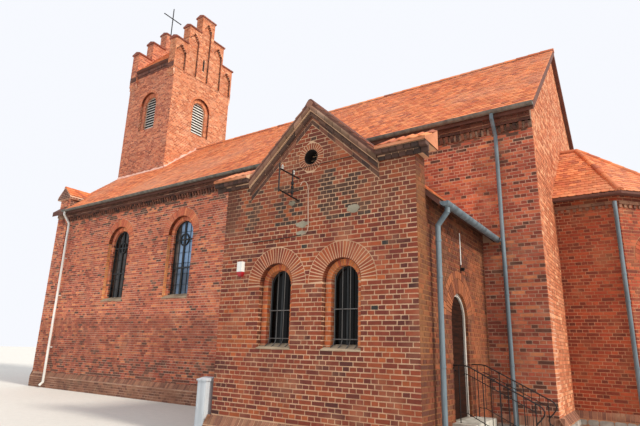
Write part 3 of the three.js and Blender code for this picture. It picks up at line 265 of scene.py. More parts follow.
class Graph:
    """Builds one material's nodes."""

    def __init__(self, name: str) -> None:
        """Start a material with its principled shader."""
        self.material = bpy.data.materials.new(name)
        self.material.use_nodes = True
        self.tree = self.material.node_tree
        self.shader = self.tree.nodes["Principled BSDF"]
        self.place = self.new("TexCoord").outputs["Object"]

    def new(self, kind: str, inputs: Optional[dict] = None, **settings: object) -> bpy.types.Node:
        """Add a node.

        Args:
            kind: Its type, without the leading ShaderNode.
            inputs: What its inputs take.
            settings: Its attributes.

        Returns:
            The node.
        """
        node = self.tree.nodes.new("ShaderNode" + kind)
        for key, value in settings.items():
            setattr(node, key, value)
        self.feed(node, inputs or {})
        return node

    def feed(self, node: bpy.types.Node, inputs: dict) -> None:
        """Link or set a node's inputs.

        Args:
            node: The node.
            inputs: An output socket, a number or a colour for each input's name or index.
        """
        for key, source in inputs.items():
            if isinstance(source, bpy.types.NodeSocket):
                self.tree.links.new(source, node.inputs[key])
            else:
                node.inputs[key].default_value = source

    def axes(self, source: object) -> Sequence:
        """Split a vector into its three parts."""
        return self.new("SeparateXYZ", {0: source}).outputs

    def noise(self, scale: float, detail: float = 3.0, stretch: Point = (1, 1, 1)) -> bpy.types.NodeSocket:
        """Add a noise texture with a scale for each axis; returns its value socket."""
        spot = self.new("Mapping", {"Vector": self.place, "Scale": stretch}).outputs["Vector"]
        return self.new("TexNoise", {"Vector": spot, "Scale": scale, "Detail": detail}).outputs["Fac"]

    def ramp(self, value: object, *stops: tuple, constant: bool = False) -> bpy.types.NodeSocket:
        """Add a colour ramp.

        Args:
            value: The value that drives it.
            stops: Pairs of place and colour code or grey level.
            constant: True for steps.

        Returns:
            Its colour socket.
        """
        node = self.new("ValToRGB", {"Fac": value})
        node.color_ramp.interpolation = "CONSTANT" if constant else "LINEAR"
        points = node.color_ramp.elements
        while len(points) < len(stops):
            points.new(1.0)
        for point, (spot, tone) in zip(points, stops):
            point.position = spot
            point.color = srgb(tone) if isinstance(tone, int) else (tone, tone, tone, 1.0)
        return node.outputs["Color"]

    def mix(self, amount: object, first: object, second: object, mode: str = "MIX") -> bpy.types.NodeSocket:
        """Mix two colours by an amount of the second, in a blend mode; returns the mixed colour socket."""
        first, second = (srgb(tone) if isinstance(tone, int) else tone for tone in (first, second))
        return self.new("Mix", {0: amount, 6: first, 7: second}, data_type="RGBA", blend_type=mode).outputs[2]

    def math(self, mode: str, first: object, second: object) -> bpy.types.NodeSocket:
        """Add a math node with two inputs."""
        return self.new("Math", {0: first, 1: second}, operation=mode).outputs[0]

    def stain_and_paint_light(self, colour: object, stains_and_painted_light: Sequence[tuple]) -> object:
        """Tint a colour inside ragged zones of the plan: staining, grime, painted shade and painted light.

        Args:
            colour: The colour before the zones.
            stains_and_painted_light: For each zone its low and high bounds, with None where it is open, its
                colour and amount.

        Returns:
            The tinted colour.
        """
        if not stains_and_painted_light:
            return colour
        spot, rag, soft = self.axes(self.place), self.noise(3.2, 6.0), 0.1
        for lows, highs, tone, amount in stains_and_painted_light:
            mask = self.math("MULTIPLY", self.ramp(rag, (0.36, 0.35), (0.6, 1.0)), amount)
            for axis in range(3):
                for bound, sign in ((lows[axis], 1), (highs[axis], -1)):
                    if bound is not None:
                        wobble = self.math("ADD", spot[axis], self.math("MULTIPLY", rag, 0.3))
                        middle = bound + SHIFT[axis] + 0.15
                        edge = self.new("MapRange", {"Value": wobble, "From Min": middle - soft * sign,
                                                     "From Max": middle + soft * sign},
                                        interpolation_type="SMOOTHSTEP")
                        mask = self.math("MULTIPLY", mask, edge.outputs["Result"])
            colour = self.mix(mask, colour, tone)
        return colour

    def tint(self) -> Sequence:
        """Read the tint numbers of a block."""
        return self.axes(self.new("UVMap", uv_map="tint").outputs["UV"])

    def finish(self, colour: object, rough: object, height: object, strength: float, distance: float,
               **more: float) -> bpy.types.Material:
        """Put the colour, roughness and bump on the shader.

        Args:
            colour: The base colour.
            rough: The roughness.
            height: The height that bumps it.
            strength: Strength of the bump.
            distance: Depth of the bump.
            more: Values of the shader's other inputs, with _ for each space.

        Returns:
            The finished material.
        """
        bump = self.new("Bump", {"Strength": strength, "Distance": distance, "Height": height})
        self.feed(self.shader, {"Base Color": colour, "Roughness": rough, "Normal": bump.outputs["Normal"],
                                **{key.replace("_", " "): value for key, value in more.items()}})
        return self.material


@dataclass(frozen=True)
class Finish:
    """A finish: its material is made once and shared."""

    name: str

    def material(self) -> bpy.types.Material:
        """Return the material, making it the first time."""
        return bpy.data.materials.get(self.name) or self.make(Graph(self.name))

    def make(self, graph: Graph) -> bpy.types.Material:
        """Make the material."""
        raise NotImplementedError

    def dress(self, *names: str) -> None:
        """Give CAD nodes this finish."""
        for name in names:
            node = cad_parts[name]
            if not node.material_slots:
                node.data.materials.append(self.material())
            for slot in node.material_slots:
                slot.material = self.material()


@dataclass(frozen=True)
class BrickFinish(Finish):
    """Fired brick: one colour a brick, with grain, soot, pale stain patches and zones of staining, painted
    shade and painted light.
    """

    palette: tuple = ()
    soot: float = 0.25
    wash: int = 0xC98A66
    stains_and_painted_light: tuple = ()
    slot: Slot = Slot.BRICK

    def make(self, graph: Graph) -> bpy.types.Material:
        """Make the brick material."""
        tint, grain = graph.tint(), graph.noise(95.0, 6.0)
        colour = graph.ramp(tint[0], *self.palette, constant=True)
        for amount, value, *stops in ((1.0, tint[1], (0.0, 0.84), (1.0, 1.14)),
                                      (0.55, graph.noise(13.0, 5.0), (0.3, 0.66), (0.7, 1.14))):
            colour = graph.mix(amount, colour, graph.ramp(value, *stops), "MULTIPLY")
        for scale, tone, *stops in ((2.2, self.wash, (0.52, 0.0), (0.75, 0.4)),
                                    (0.55, 0x3B2A25, (0.42, 0.0), (0.72, self.soot))):
            colour = graph.mix(graph.ramp(graph.noise(scale, 5.0), *stops), colour, tone)
        return graph.finish(graph.stain_and_paint_light(colour, self.stains_and_painted_light), graph.ramp(grain, (0.2, 0.82), (0.8, 0.97)),
                            grain, 0.5, 0.004)


@dataclass(frozen=True)
class MortarFinish(Finish):
    """Lime mortar, plaster or cement, blotched and gritty."""

    light: int
    dark: int
    grit: float = 70.0
    stains_and_painted_light: tuple = ()
    slot: Slot = Slot.BRICK

    def make(self, graph: Graph) -> bpy.types.Material:
        """Make the mortar material."""
        colour = graph.ramp(graph.noise(1.4, 6.0), (0.35, self.dark), (0.62, self.light))
        grit = graph.noise(self.grit, 5.0)
        colour = graph.mix(0.35, colour, graph.ramp(grit, (0.3, 0.6), (0.7, 1.15)), "MULTIPLY")
        return graph.finish(graph.stain_and_paint_light(colour, self.stains_and_painted_light), graph.ramp(grit, (0.2, 0.88), (0.8, 1.0)),
                            grit, 0.5, 0.006)


@dataclass(frozen=True)
class TileFinish(Finish):
    """Clay roof tiles: one tone a tile, bleached and mossed in patches."""

    palette: tuple = ()
    moss: float = 0.3
    slot: Slot = Slot.TILE

    def make(self, graph: Graph) -> bpy.types.Material:
        """Make the tile material."""
        tint, grain = graph.tint(), graph.noise(60.0, 5.0)
        colour = graph.mix(1.0, graph.ramp(tint[0], *self.palette),
                           graph.ramp(tint[1], (0.0, 0.82), (1.0, 1.15)), "MULTIPLY")
        for scale, detail, tone, *stops in ((0.35, 4.0, 0xC9967A, (0.45, 0.0), (0.7, 0.45)),
                                            (5.0, 6.0, 0x6B5A3C, (0.58, 0.0), (0.72, self.moss))):
            colour = graph.mix(graph.ramp(graph.noise(scale, detail), *stops), colour, tone)
        return graph.finish(colour, graph.ramp(grain, (0.2, 0.72), (0.8, 0.92)), grain, 0.35, 0.003)


@dataclass(frozen=True)
class MetalFinish(Finish):
    """Painted or weathered metal with streaks and dulled patches."""

    light: int
    dark: int
    metallic: float
    low: float
    high: float
    slot: Slot = Slot.IRON

    def make(self, graph: Graph) -> bpy.types.Material:
        """Make the metal material."""
        return graph.finish(graph.ramp(graph.noise(9.0, 5.0, (1.0, 1.0, 0.12)), (0.35, self.dark),
                                       (0.65, self.light)),
                            graph.ramp(graph.noise(24.0, 4.0), (0.3, self.low), (0.7, self.high)),
                            graph.noise(70.0, 3.0), 0.15, 0.002, Metallic=self.metallic)


@dataclass(frozen=True)
class GlassFinish(Finish):
    """Window glass seen from outside: dark, uneven and glossy, with a painted reflection of the sky in part
    of each window.
    """

    light: int
    dark: int
    centre: float
    shine: float
    first: float = 0.0
    pitch: float = 0.0
    slot: Slot = Slot.GLASS

    def make(self, graph: Graph) -> bpy.types.Material:
        """Make the glass material."""
        cloud = graph.noise(1.1, 4.0)
        colour = graph.ramp(cloud, (self.centre - 0.14, self.dark), (self.centre + 0.16, self.light))
        if self.pitch:
            from_first = graph.math("SUBTRACT", graph.axes(graph.place)[0], self.first + SHIFT[0])
            count = graph.math("ADD", graph.math("MULTIPLY", from_first, 1 / self.pitch), 0.5)
            # Painted reflection: a band of each window takes the pale sky colour, the rest a dark brown.
            sky_reflection_mask = graph.ramp(graph.math("FRACT", count, 0.0), (0.43, 0.0), (0.445, 1.0))
            colour = graph.mix(sky_reflection_mask, graph.ramp(cloud, (0.4, 0x2B2522), (0.62, 0x59504A)), colour)
        return graph.finish(colour, graph.ramp(graph.noise(3.0, 3.0), (0.3, 0.04), (0.7, 0.16)),
                            graph.noise(3.5, 2.0), 0.12, 0.01, IOR=1.52, Specular_IOR_Level=self.shine)


@dataclass(frozen=True)
class TimberFinish(Finish):
    """Painted boards with grain along one axis."""

    light: int
    dark: int
    stretch: tuple
    slot: Slot = Slot.TIMBER

    def make(self, graph: Graph) -> bpy.types.Material:
        """Make the timber material."""
        grain = graph.noise(38.0, 7.0, self.stretch)
        colour = graph.mix(1.0, graph.ramp(grain, (0.3, self.dark), (0.7, self.light)),
                           graph.ramp(graph.tint()[0], (0.0, 0.8), (1.0, 1.2)), "MULTIPLY")
        return graph.finish(colour, graph.ramp(grain, (0.2, 0.6), (0.8, 0.85)), grain, 0.35, 0.004,
                            Specular_IOR_Level=0.08)


@dataclass(frozen=True)
class StoneFinish(Finish):
    """Cut or field stone: cells of differing greys with a gritty face."""

    light: int
    dark: int
    cell: float
    relief: float
    slot: Slot = Slot.STONE

    def make(self, graph: Graph) -> bpy.types.Material:
        """Make the stone material."""
        cells = graph.new("TexVoronoi", {"Vector": graph.place, "Scale": self.cell}).outputs["Distance"]
        tone = graph.math("ADD", graph.noise(6.0, 6.0), graph.math("MULTIPLY", cells, 0.2))
        grit = graph.noise(80.0, 5.0)
        colour = graph.mix(0.3, graph.ramp(tone, (0.35, self.dark), (0.8, self.light)),
                           graph.ramp(grit, (0.3, 0.65), (0.7, 1.15)), "MULTIPLY")
        height = graph.math("ADD", grit, graph.math("MULTIPLY", tone, 2.0))
        return graph.finish(colour, graph.ramp(grit, (0.2, 0.8), (0.8, 0.98)), height, self.relief, 0.01)


# Palettes: each tone with the first tint number that takes it
ANNEX_PALETTE = ((0.0, 0x482520), (0.09, 0x5F2B23), (0.2, 0x743225), (0.34, 0x853A26), (0.5, 0x944328),
                 (0.66, 0xA24D2B), (0.8, 0xAD572D), (0.9, 0xB86336), (0.95, 0x302D2A))
# Annex east side: a palette darkened to paint the shade of trees over the wall.
SHADED_SIDE_PALETTE = ((0.0, 0x582813), (0.25, 0x6A3217), (0.5, 0x77391B), (0.75, 0x5E2C18), (0.92, 0x884320))
NAVE_PALETTE = ((0.0, 0x864132), (0.12, 0xA24D3A), (0.28, 0xBA5C44), (0.45, 0xCB6B4C), (0.62, 0xD87A54),
                (0.8, 0xE58D5E), (0.95, 0x664538))
TOWER_PALETTE = ((0.0, 0xA6553D), (0.2, 0xB9674B), (0.45, 0xC87453), (0.7, 0xD6845F), (0.93, 0x914B39))
# East faces: a lighter, warmer copy of the tower palette that paints the sunlight on them.
SUNLIT_EAST_PALETTE = ((0.0, 0xA95D39), (0.2, 0xB96943), (0.45, 0xC6764E), (0.7, 0xD0845A), (0.93, 0xDC9B72))
CHANCEL_PALETTE = ((0.0, 0x873822), (0.3, 0x9D4126), (0.6, 0xAB4C2B), (0.85, 0x763321))
ROOF_PALETTE = ((0.0, 0xBE6238), (0.3, 0xD67A47), (0.6, 0xDE8A57), (0.85, 0xC4683F), (1.0, 0xA3563A))
VERGE_PALETTE = ((0.0, 0x6A4438), (0.4, 0x764A3C), (0.7, 0x5A3E35), (1.0, 0x85543F))

# Zones of staining, grime, painted shade and painted light: low bounds, high bounds, colour and amount
# Annex: painted shade on the upper west edge and west wall, and a browner tone over the upper front.
ANNEX_EDGE_SHADE_AND_UPPER_TONE = (((None, None, 4.02), (14.1, None, None), 0x4E2E22, 0.5),
               ((None, None, 4.0), (None, -3.6, None), 0x8A4E30, 0.3))
# Annex east side: a yellow-brown strip by the front corner, and a painted patch of sunlight right of the
# door.
SIDE_STRIP_AND_SUN_PATCH = (((None, -3.8, 1.7), (None, -3.3, 4.6), 0x8C5C30, 0.45),
               ((None, -1.15, None), (None, -0.3, 3.6), 0xB8683E, 0.3))
# Painted shade over the nave front's mortar under the eave.
CORNICE_SHADE = (((None, None, 6.5), (None, 0.1, 7.3), 0x55392E, 0.9),)
# Nave front: painted shade east of the annex in two zones, and grime low on the wall west of 17.8 m.
NAVE_SHADE_AND_GRIME = (((17.8, None, None), (18.5, 0.1, 6.2), 0x4E1E0E, 0.5),
                 ((18.5, None, None), (19.2, 0.1, 6.2), 0x6A2814, 0.35),
                 ((None, None, None), (17.8, 0.1, 2.6), 0x6A3426, 0.5))

ANNEX_BRICK = BrickFinish("annex_brick", ANNEX_PALETTE, 0.3, stains_and_painted_light=ANNEX_EDGE_SHADE_AND_UPPER_TONE)
# Annex east side brick: its darkened palette and zones paint tree shade and a sunlit patch.
SHADED_SIDE_BRICK = BrickFinish("annex_side_brick_painted_shade", SHADED_SIDE_PALETTE, 0.2, 0x9A6A44, SIDE_STRIP_AND_SUN_PATCH)
SHADED_REVEAL = BrickFinish("shaded_reveal_brick", ((0.0, 0x6A2E14), (0.4, 0x7C3A1C), (0.75, 0x5A2814)), 0.2,
                            0x8A5030)
LIT_REVEAL = BrickFinish("lit_reveal_brick", ((0.0, 0xF0A062), (0.4, 0xF8B274), (0.75, 0xE28E52)), 0.0,
                         0xFFC48C)
ANNEX_REVEAL = BrickFinish("annex_reveal_brick", ((0.0, 0xC9683A), (0.4, 0xD67C46), (0.75, 0xB5583A)), 0.05)
DOOR_ARCH = BrickFinish("door_arch_brick", ((0.0, 0x84452A), (0.4, 0x96532E), (0.75, 0x743C22)), 0.15,
                        0xA06C46)
NAVE_BRICK = BrickFinish("nave_brick", NAVE_PALETTE, 0.1, 0xD09A7A, NAVE_SHADE_AND_GRIME)
TOWER_BRICK = BrickFinish("tower_brick", TOWER_PALETTE, 0.1, 0xC89478)
# Sunlit copy of the tower brick, laid on the east faces: painted light.
SUNLIT_EAST_BRICK = BrickFinish("sunlit_east_brick", SUNLIT_EAST_PALETTE, 0.06, 0xDCA684)
CHANCEL_BRICK = BrickFinish("chancel_brick", CHANCEL_PALETTE, 0.15, 0xB87850)
# Dark corbel brick under the annex shoulders: partly soot, partly painted shade under the slabs.
SOOT_AND_SHADE_BRICK = BrickFinish("soot_and_shade_brick", ((0.0, 0x4A332C), (0.4, 0x5C4036), (0.75, 0x3C2E2A)), 0.2, 0x6E5244)
RAKE_BRICK = BrickFinish("rake_brick", ((0.0, 0x5A3A30), (0.3, 0x7A4A38), (0.6, 0x8A5540), (0.85, 0x43302A)),
                         0.2)
# Near-black brick behind the round vent and the tower slits: painted shade in the holes.
HOLE_SHADE_BRICK = BrickFinish("hole_shade_brick", ((0.0, 0x120D0B), (0.5, 0x1E1512)), 0.1, 0x2A1F1B)
ROLL_BRICK = BrickFinish("roll_brick", ((0.0, 0x8A6450), (0.4, 0x9C7660), (0.75, 0x75563F)), 0.4, 0xA8927E)
DARK_ROLL = BrickFinish("dark_roll_brick", ((0.0, 0x5C4034), (0.4, 0x6C4C3C), (0.75, 0x4C362C)), 0.3,
                        0x7A5E4C)
COPING_BRICK = BrickFinish("coping_brick", ((0.0, 0x8A4C3C), (0.4, 0x9A5A48), (0.75, 0x7C4436)), 0.2,
                           0xA87060)
# Dark brick of the cornices, eave bands and roof undersides: partly the bricks' own tone, partly painted
# shade under the eaves.
CORNICE_BRICK = BrickFinish("cornice_brick", ((0.0, 0x6E4438), (0.4, 0x7C4E40), (0.75, 0x5C3C34)), 0.3,
                            0x8A6452)
PLINTH_BRICK = BrickFinish("plinth_brick", ((0.0, 0x8C5E48), (0.4, 0x9A6A52), (0.75, 0x7A5040)), 0.3,
                           0x9E8262)
ANNEX_MORTAR = MortarFinish("annex_mortar", 0xE4BE9A, 0xC49A7A, stains_and_painted_light=ANNEX_EDGE_SHADE_AND_UPPER_TONE)
# Annex east side mortar, darkened as painted shade of the trees.
SHADED_SIDE_MORTAR = MortarFinish("annex_side_mortar_painted_shade", 0x915F38, 0x6C4528, stains_and_painted_light=SIDE_STRIP_AND_SUN_PATCH)
NAVE_MORTAR = MortarFinish("nave_mortar", 0xE4BEA2, 0xC89C80, stains_and_painted_light=CORNICE_SHADE + NAVE_SHADE_AND_GRIME)
CHANCEL_MORTAR = MortarFinish("chancel_mortar", 0xC8906C, 0xA8704E)
EAST_MORTAR = MortarFinish("east_mortar", 0xB27A56, 0x946042)
CEMENT = MortarFinish("grey_cement", 0xB9B4A6, 0x8F897B, 40.0, slot=Slot.STONE)
PALE_CEMENT = MortarFinish("beige_cement", 0xB29E84, 0x8C7862, 40.0, slot=Slot.STONE)
PATCH_CEMENT = MortarFinish("patch_cement", 0xA39A86, 0x7E7664, 40.0)
CAP_EDGE = MortarFinish("shoulder_tile_edge", 0xD08A66, 0xA8643F, 40.0, slot=Slot.TILE)
PINK_MORTAR = MortarFinish("flashing_mortar", 0xE8BCAC, 0xCB9480, 30.0)
ROOF_TILE = TileFinish("roof_tile", ROOF_PALETTE)
VERGE_TILE = TileFinish("verge_tile", VERGE_PALETTE)
PIPE_ZINC = MetalFinish("pipe_zinc", 0x74828A, 0x56646C, 0.1, 0.5, 0.75, Slot.ZINC)
GUTTER_ZINC = MetalFinish("gutter_zinc", 0x7A7870, 0x5A5852, 0.25, 0.5, 0.75, Slot.ZINC)
IRON = MetalFinish("wrought_iron", 0x2A2626, 0x141214, 0.5, 0.4, 0.62)
GRILLE_IRON = MetalFinish("grille_iron", 0x7A7774, 0x55524F, 0.1, 0.5, 0.7)
WINDOW_METAL = MetalFinish("window_metal", 0x2E3133, 0x191B1D, 0.35, 0.4, 0.6)
WHITE_PAINT = MetalFinish("white_paint", 0xE9E8E4, 0xCFCDC6, 0.0, 0.35, 0.55, Slot.WHITE)
CONDUIT = MetalFinish("conduit", 0xC9AE9C, 0xA68C7A, 0.0, 0.6, 0.8, Slot.WHITE)
FRAME_PAINT = MetalFinish("frame_paint", 0xC8C0B8, 0xA69E94, 0.0, 0.5, 0.7, Slot.WHITE)
CABINET_PAINT = MetalFinish("cabinet_paint", 0xC7CDD2, 0xAEB5BB, 0.0, 0.4, 0.6, Slot.WHITE)
RED_PAINT = MetalFinish("red_paint", 0xB3202A, 0x8C1820, 0.0, 0.3, 0.45, Slot.WHITE)
CERAMIC = MetalFinish("glazed_ceramic", 0xCFCBC4, 0xA9A59E, 0.0, 0.2, 0.35, Slot.WHITE)
SLAT_PAINT = MetalFinish("slat_paint", 0xE6E3DC, 0xC6C2BA, 0.0, 0.5, 0.75, Slot.SLATS)
# Dark boards behind the louvre blades: painted shade inside the belfry.
SHADE_BOARD = MetalFinish("painted_shade_board", 0x2A2624, 0x171514, 0.0, 0.7, 0.9, Slot.SLATS)
# Nave glass: its pale blue is a painted reflection of the sky.
NAVE_GLASS = GlassFinish("nave_glass", 0x7C9CC0, 0x3A4A5C, 0.46, 0.5, 4.45, 3.425)
WEST_GLASS = GlassFinish("west_window_glass", 0x453A33, 0x16110F, 0.55, 0.3)
ANNEX_GLASS = GlassFinish("annex_glass", 0x120F0C, 0x060504, 0.5, 0.12)
DOOR_TIMBER = TimberFinish("door_timber", 0x341A10, 0x140A06, (1.0, 0.08, 1.0))
WEST_TIMBER = TimberFinish("west_door_timber", 0x55382A, 0x2A1A14, (1.0, 1.0, 0.08))
STEP_STONE = StoneFinish("step_stone", 0xC9C4B8, 0x8E887C, 3.0, 0.2)
FIELDSTONE = StoneFinish("fieldstone", 0xB4ADA2, 0x76706A, 3.4, 0.5)
PAVING = StoneFinish("floor_paving", 0xA39A8C, 0x7D7568, 2.0, 0.1)
STUDIO_FLOOR = StoneFinish("studio_floor", 0xD9D6CF, 0xD2CFC8, 0.3, 0.02)


# Meshes made of many small blocks


@dataclass
class Blocks:
    """One piece: small prisms, each with its own two tint numbers, that become one mesh."""

    name: str
    seed: int
    finish: Finish
    body: str = CHURCH
    replaces: Sequence[str] = ()
    smooth: bool = False

    def __post_init__(self) -> None:
        """Start without prisms."""
        self.rng, self.groups = np.random.default_rng(self.seed), []

    def add(self, loops: Sequence, tints: Optional[np.ndarray] = None) -> None:
        """Add prisms that all have the same number of corners.

        Args:
            loops: An array (count, 2 n, 3): n front corners, then n back corners.
            tints: An array (count, 2), or None for random ones.
        """
        if len(loops):
            loops = np.asarray(loops)
            self.groups.append((loops, self.rng.random((len(loops), 2)) if tints is None else tints))

    def on_face(self, face: Face, uv: Sequence, front: object, back: object,
                tints: Optional[np.ndarray] = None) -> None:
        """Add prisms drawn on a face.

        Args:
            face: The face.
            uv: An array (count, n, 2) of corners.
            front: Depth of the fronts: one number, one a prism or one a corner.
            back: Depth of the backs.
            tints: As for add.
        """
        uv, sides = np.asarray(uv), []
        for depth in map(np.asarray, (front, back)):
            depth = depth.reshape(len(uv), -1) if depth.ndim else depth
            sides.append(face.at(uv[..., 0], uv[..., 1], depth))
        self.add(np.concatenate(sides, axis=1), tints)

    def box(self, low: Point, high: Point) -> None:
        """Add one upright box given by two corners in the plan's frame."""
        self.on_face(SOUTH.face(low[1]), [sheet(low[0], low[2], high[0], high[2])], 0.0, high[1] - low[1])

    def tube(self, path: Sequence[Point], radius: float, sides: int = 8, closed: bool = False,
             flat: float = 1.0) -> None:
        """Add a round or flattened bar.

        Args:
            path: Points along its middle, in the plan's frame.
            radius: Its radius.
            sides: Number of sides.
            closed: True to join the end to the start.
            flat: Width across the path's plane over its height.
        """
        points = SHIFT + path
        count = len(points)
        ahead, behind = np.roll(points, -1, axis=0), np.roll(points, 1, axis=0)
        if not closed:
            ahead[-1], behind[0] = points[-1], points[0]
        runs = ahead - behind
        runs /= np.linalg.norm(runs, axis=1)[:, None]
        side = np.array([0.0, 1.0, 0.0]) if abs(runs[0][1]) < 0.9 else np.array([1.0, 0.0, 0.0])
        turn = np.linspace(0, TURN, sides, endpoint=False)[:, None]
        rings = []
        for point, run in zip(points, runs):
            side = unit(side - run * float(side @ run))
            rings.append(point + radius * (np.cos(turn) * np.cross(run, side) + flat * np.sin(turn) * side))
        last = count if closed else count - 1
        self.add([np.concatenate([rings[(i + 1) % count], rings[i]]) for i in range(last)],
                 np.repeat(self.rng.random((1, 2)), last, axis=0))

    def row(self, face: Face, ends: Point, heights: Point, pitch: float, joint: float, depths: Point,
            duty: float = 1.0) -> None:
        """Lay one row of equal blocks.

        Args:
            face: The face.
            ends: First and last u.
            heights: Foot and top.
            pitch: Distance from block to block.
            joint: Gap between blocks.
            depths: Depths of the fronts and the backs.
            duty: Share of the pitch that a block fills.
        """
        count = max(1, int(round((ends[1] - ends[0]) / pitch)))
        step = (ends[1] - ends[0]) / count
        starts = ends[0] + step * np.arange(count) + joint / 2
        uv = [sheet(u, heights[0], u + step * duty - joint, heights[1]) for u in starts]
        self.on_face(face, uv, depths[0] + self.rng.normal(0, 0.0015, count), depths[1])

    def ridge(self, start: Point, end: Point, radius: float, length: float = 0.36,
              drop: float = 0.03) -> None:
        """Lay half-round ridge tiles along a line.

        Args:
            start: Start of the ridge in the plan's frame.
            end: End of the ridge.
            radius: Radius of the tiles.
            length: Length of one tile.
            drop: How far the centre line lies under the given line.
        """
        a, b = SHIFT + start, SHIFT + end
        run = unit(b - a)
        side = unit(np.cross(run, UP))
        up = np.cross(side, run)
        count = max(1, int(round(math.dist(a, b) / length)))
        step, turn = (b - a) / count, np.linspace(math.pi, 0, 9)
        outer = radius * (np.outer(np.cos(turn), side) + np.outer(np.sin(turn), up))
        self.add([np.concatenate([near + outer * 1.06, near + step * 1.04 + outer * 0.95])
                  for near in (a + step * i - up * drop for i in range(count))])

    def make(self) -> None:
        """Make the mesh object, dress it and put it on its body."""
        verts, faces, tints, base = [], [], [], 0
        for loops, tint in self.groups:
            count, double = loops.shape[:2]
            n = double // 2
            verts.append(loops.reshape(-1, 3))
            ring = [tuple(range(n)), *((i, i + n, (i + 1) % n + n, (i + 1) % n) for i in range(n)),
                    tuple(range(2 * n - 1, n - 1, -1))]
            for start in range(base, base + count * double, double):
                faces.extend(tuple(start + i for i in corners) for corners in ring)
            tints.append(np.repeat(tint, 6 * n, axis=0))
            base += count * double
        mesh = bpy.data.meshes.new(self.name)
        mesh.from_pydata(np.concatenate(verts).tolist(), [], faces)
        mesh.uv_layers.new(name="tint").data.foreach_set("uv", np.concatenate(tints).ravel())
        if self.smooth:
            mesh.shade_smooth()
            mesh.set_sharp_from_angle(angle=SHARP)
        mesh.update()
        mesh.materials.append(self.finish.material())
        piece = place(self.name, mesh)
        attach(piece, self.body)
        if self.replaces:
            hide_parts(*self.replaces)
        LOG.info("%s: %d faces", self.name, len(faces))


# Masonry


@dataclass(frozen=True)
class Bond:
    """A cross bond: rows of stretchers between rows of headers."""

    course: float = 0.077
    brick: float = 0.26
    joint: float = 0.015
    proud: float = 0.006
    split: float = 0.0
    wobble: float = 0.0012
    least_row: float = 0.02
    least_cut: float = 0.045
    bed: float = 0.004

    def cover(self, blocks: Blocks, side: Side, at: float, outline: Outline, holes: Sequence[Outline] = (),
              tone: Optional[Tone] = None) -> None:
        """Lay bricks over an upright wall drawn in X or Y."""
        self.lay(blocks, side.face(at), side.draw(outline), [side.draw(hole) for hole in holes], tone)

    def lay(self, blocks: Blocks, face: Face, outline: Outline, holes: Sequence[Outline] = (),
            tone: Optional[Tone] = None) -> None:
        """Lay bricks over a face.

        Args:
            blocks: Where they are collected.
            face: The face.
            outline: The outline to fill.
            holes: Outlines to leave bare.
            tone: Gives the first tint numbers from the bricks' places, lengths and height.
        """
        low, high = min(v for _, v in outline), max(v for _, v in outline)
        uv, tints, near = [], [], 0.11
        for row in range(int(low / self.course), int(math.ceil(high / self.course))):
            v0 = max(row * self.course, low)
            v1 = min((row + 1) * self.course, high) - self.joint
            if v1 - v0 < self.least_row:
                continue
            size = self.brick if row % 2 == 0 else self.brick / 2
            start = self.brick / 2 if row % 4 == 0 else self.brick / 4 * (row % 2)
            edge_runs = [spans(outline, v, holes) for v in (v0 + 0.003, v1 - 0.003)]
            for a, b in spans(outline, (v0 + v1) / 2, holes):
                ends = [(next((p for p, _ in runs if abs(p - a) < near), a),
                         next((q for _, q in runs if abs(q - b) < near), b)) for runs in edge_runs]
                first, last = max(ends[0][0], ends[1][0], a), min(ends[0][1], ends[1][1], b)
                edges = np.arange(math.floor((a - start) / size),
                                  math.ceil((b - start) / size) + 1) * size + start
                if row % 2 == 0 and self.split:
                    halves = edges[blocks.rng.random(len(edges)) < self.split] + size / 2
                    edges = np.sort(np.concatenate([edges, halves]))
                edges = edges[(edges > first + self.least_cut) & (edges < last - self.least_cut)]
                lows = np.stack([np.concatenate([[end[0]], edges + self.joint / 2]) for end in ends])
                highs = np.stack([np.concatenate([edges - self.joint / 2, [end[1]]]) for end in ends])
                foot, head = np.full(lows.shape[1], v0), np.full(lows.shape[1], v1)
                uv.append(np.stack([lows[0], foot, highs[0], foot, highs[1], head, lows[1], head], 1))
                random = blocks.rng.random((lows.shape[1], 2))
                if tone:
                    random[:, 0] = tone((lows[0] + highs[0]) / 2, highs[0] - lows[0], (v0 + v1) / 2,
                                        blocks.rng)
                tints.append(random)
        if uv:
            corners = np.concatenate(uv).reshape(-1, 4, 2)
            corners = corners + blocks.rng.normal(0, self.wobble, corners.shape)
            rough = blocks.rng.normal(0, 0.0012, len(corners))
            blocks.on_face(face, corners, rough - self.proud, self.bed, np.concatenate(tints))


@dataclass(frozen=True)
class Ring:
    """A ring of wedge-shaped bricks round a round head."""

    inner: float
    outer: float
    count: int
    joint: float = 0.012
    proud: float = 0.01

    def lay(self, blocks: Blocks, face: Face, centre: float, height: float, depth: float,
            turns: Point = (0.0, math.pi)) -> None:
        """Lay the ring.

        Args:
            blocks: Where the wedges are collected.
            face: The face it is on.
            centre: Its centre along the face.
            height: Its centre up the face.
            depth: How deep the wedges go.
            turns: First and last angle.
        """
        edges, uv = np.linspace(*turns, self.count + 1), np.zeros((self.count, 4, 2))
        corners = ((self.inner, edges[:-1], 1), (self.outer, edges[:-1], 1),
                   (self.outer, edges[1:], -1), (self.inner, edges[1:], -1))
        for i, (radius, angle, sign) in enumerate(corners):
            turned = angle + sign * self.joint / 2 / radius
            uv[:, i] = np.stack([centre + radius * np.cos(turned), height + radius * np.sin(turned)], 1)
        tints = blocks.rng.random((self.count, 2)) * (0.42, 1.0) + (0.45, 0.0)
        blocks.on_face(face, uv, blocks.rng.normal(0, 0.0012, self.count) - self.proud, depth, tints)


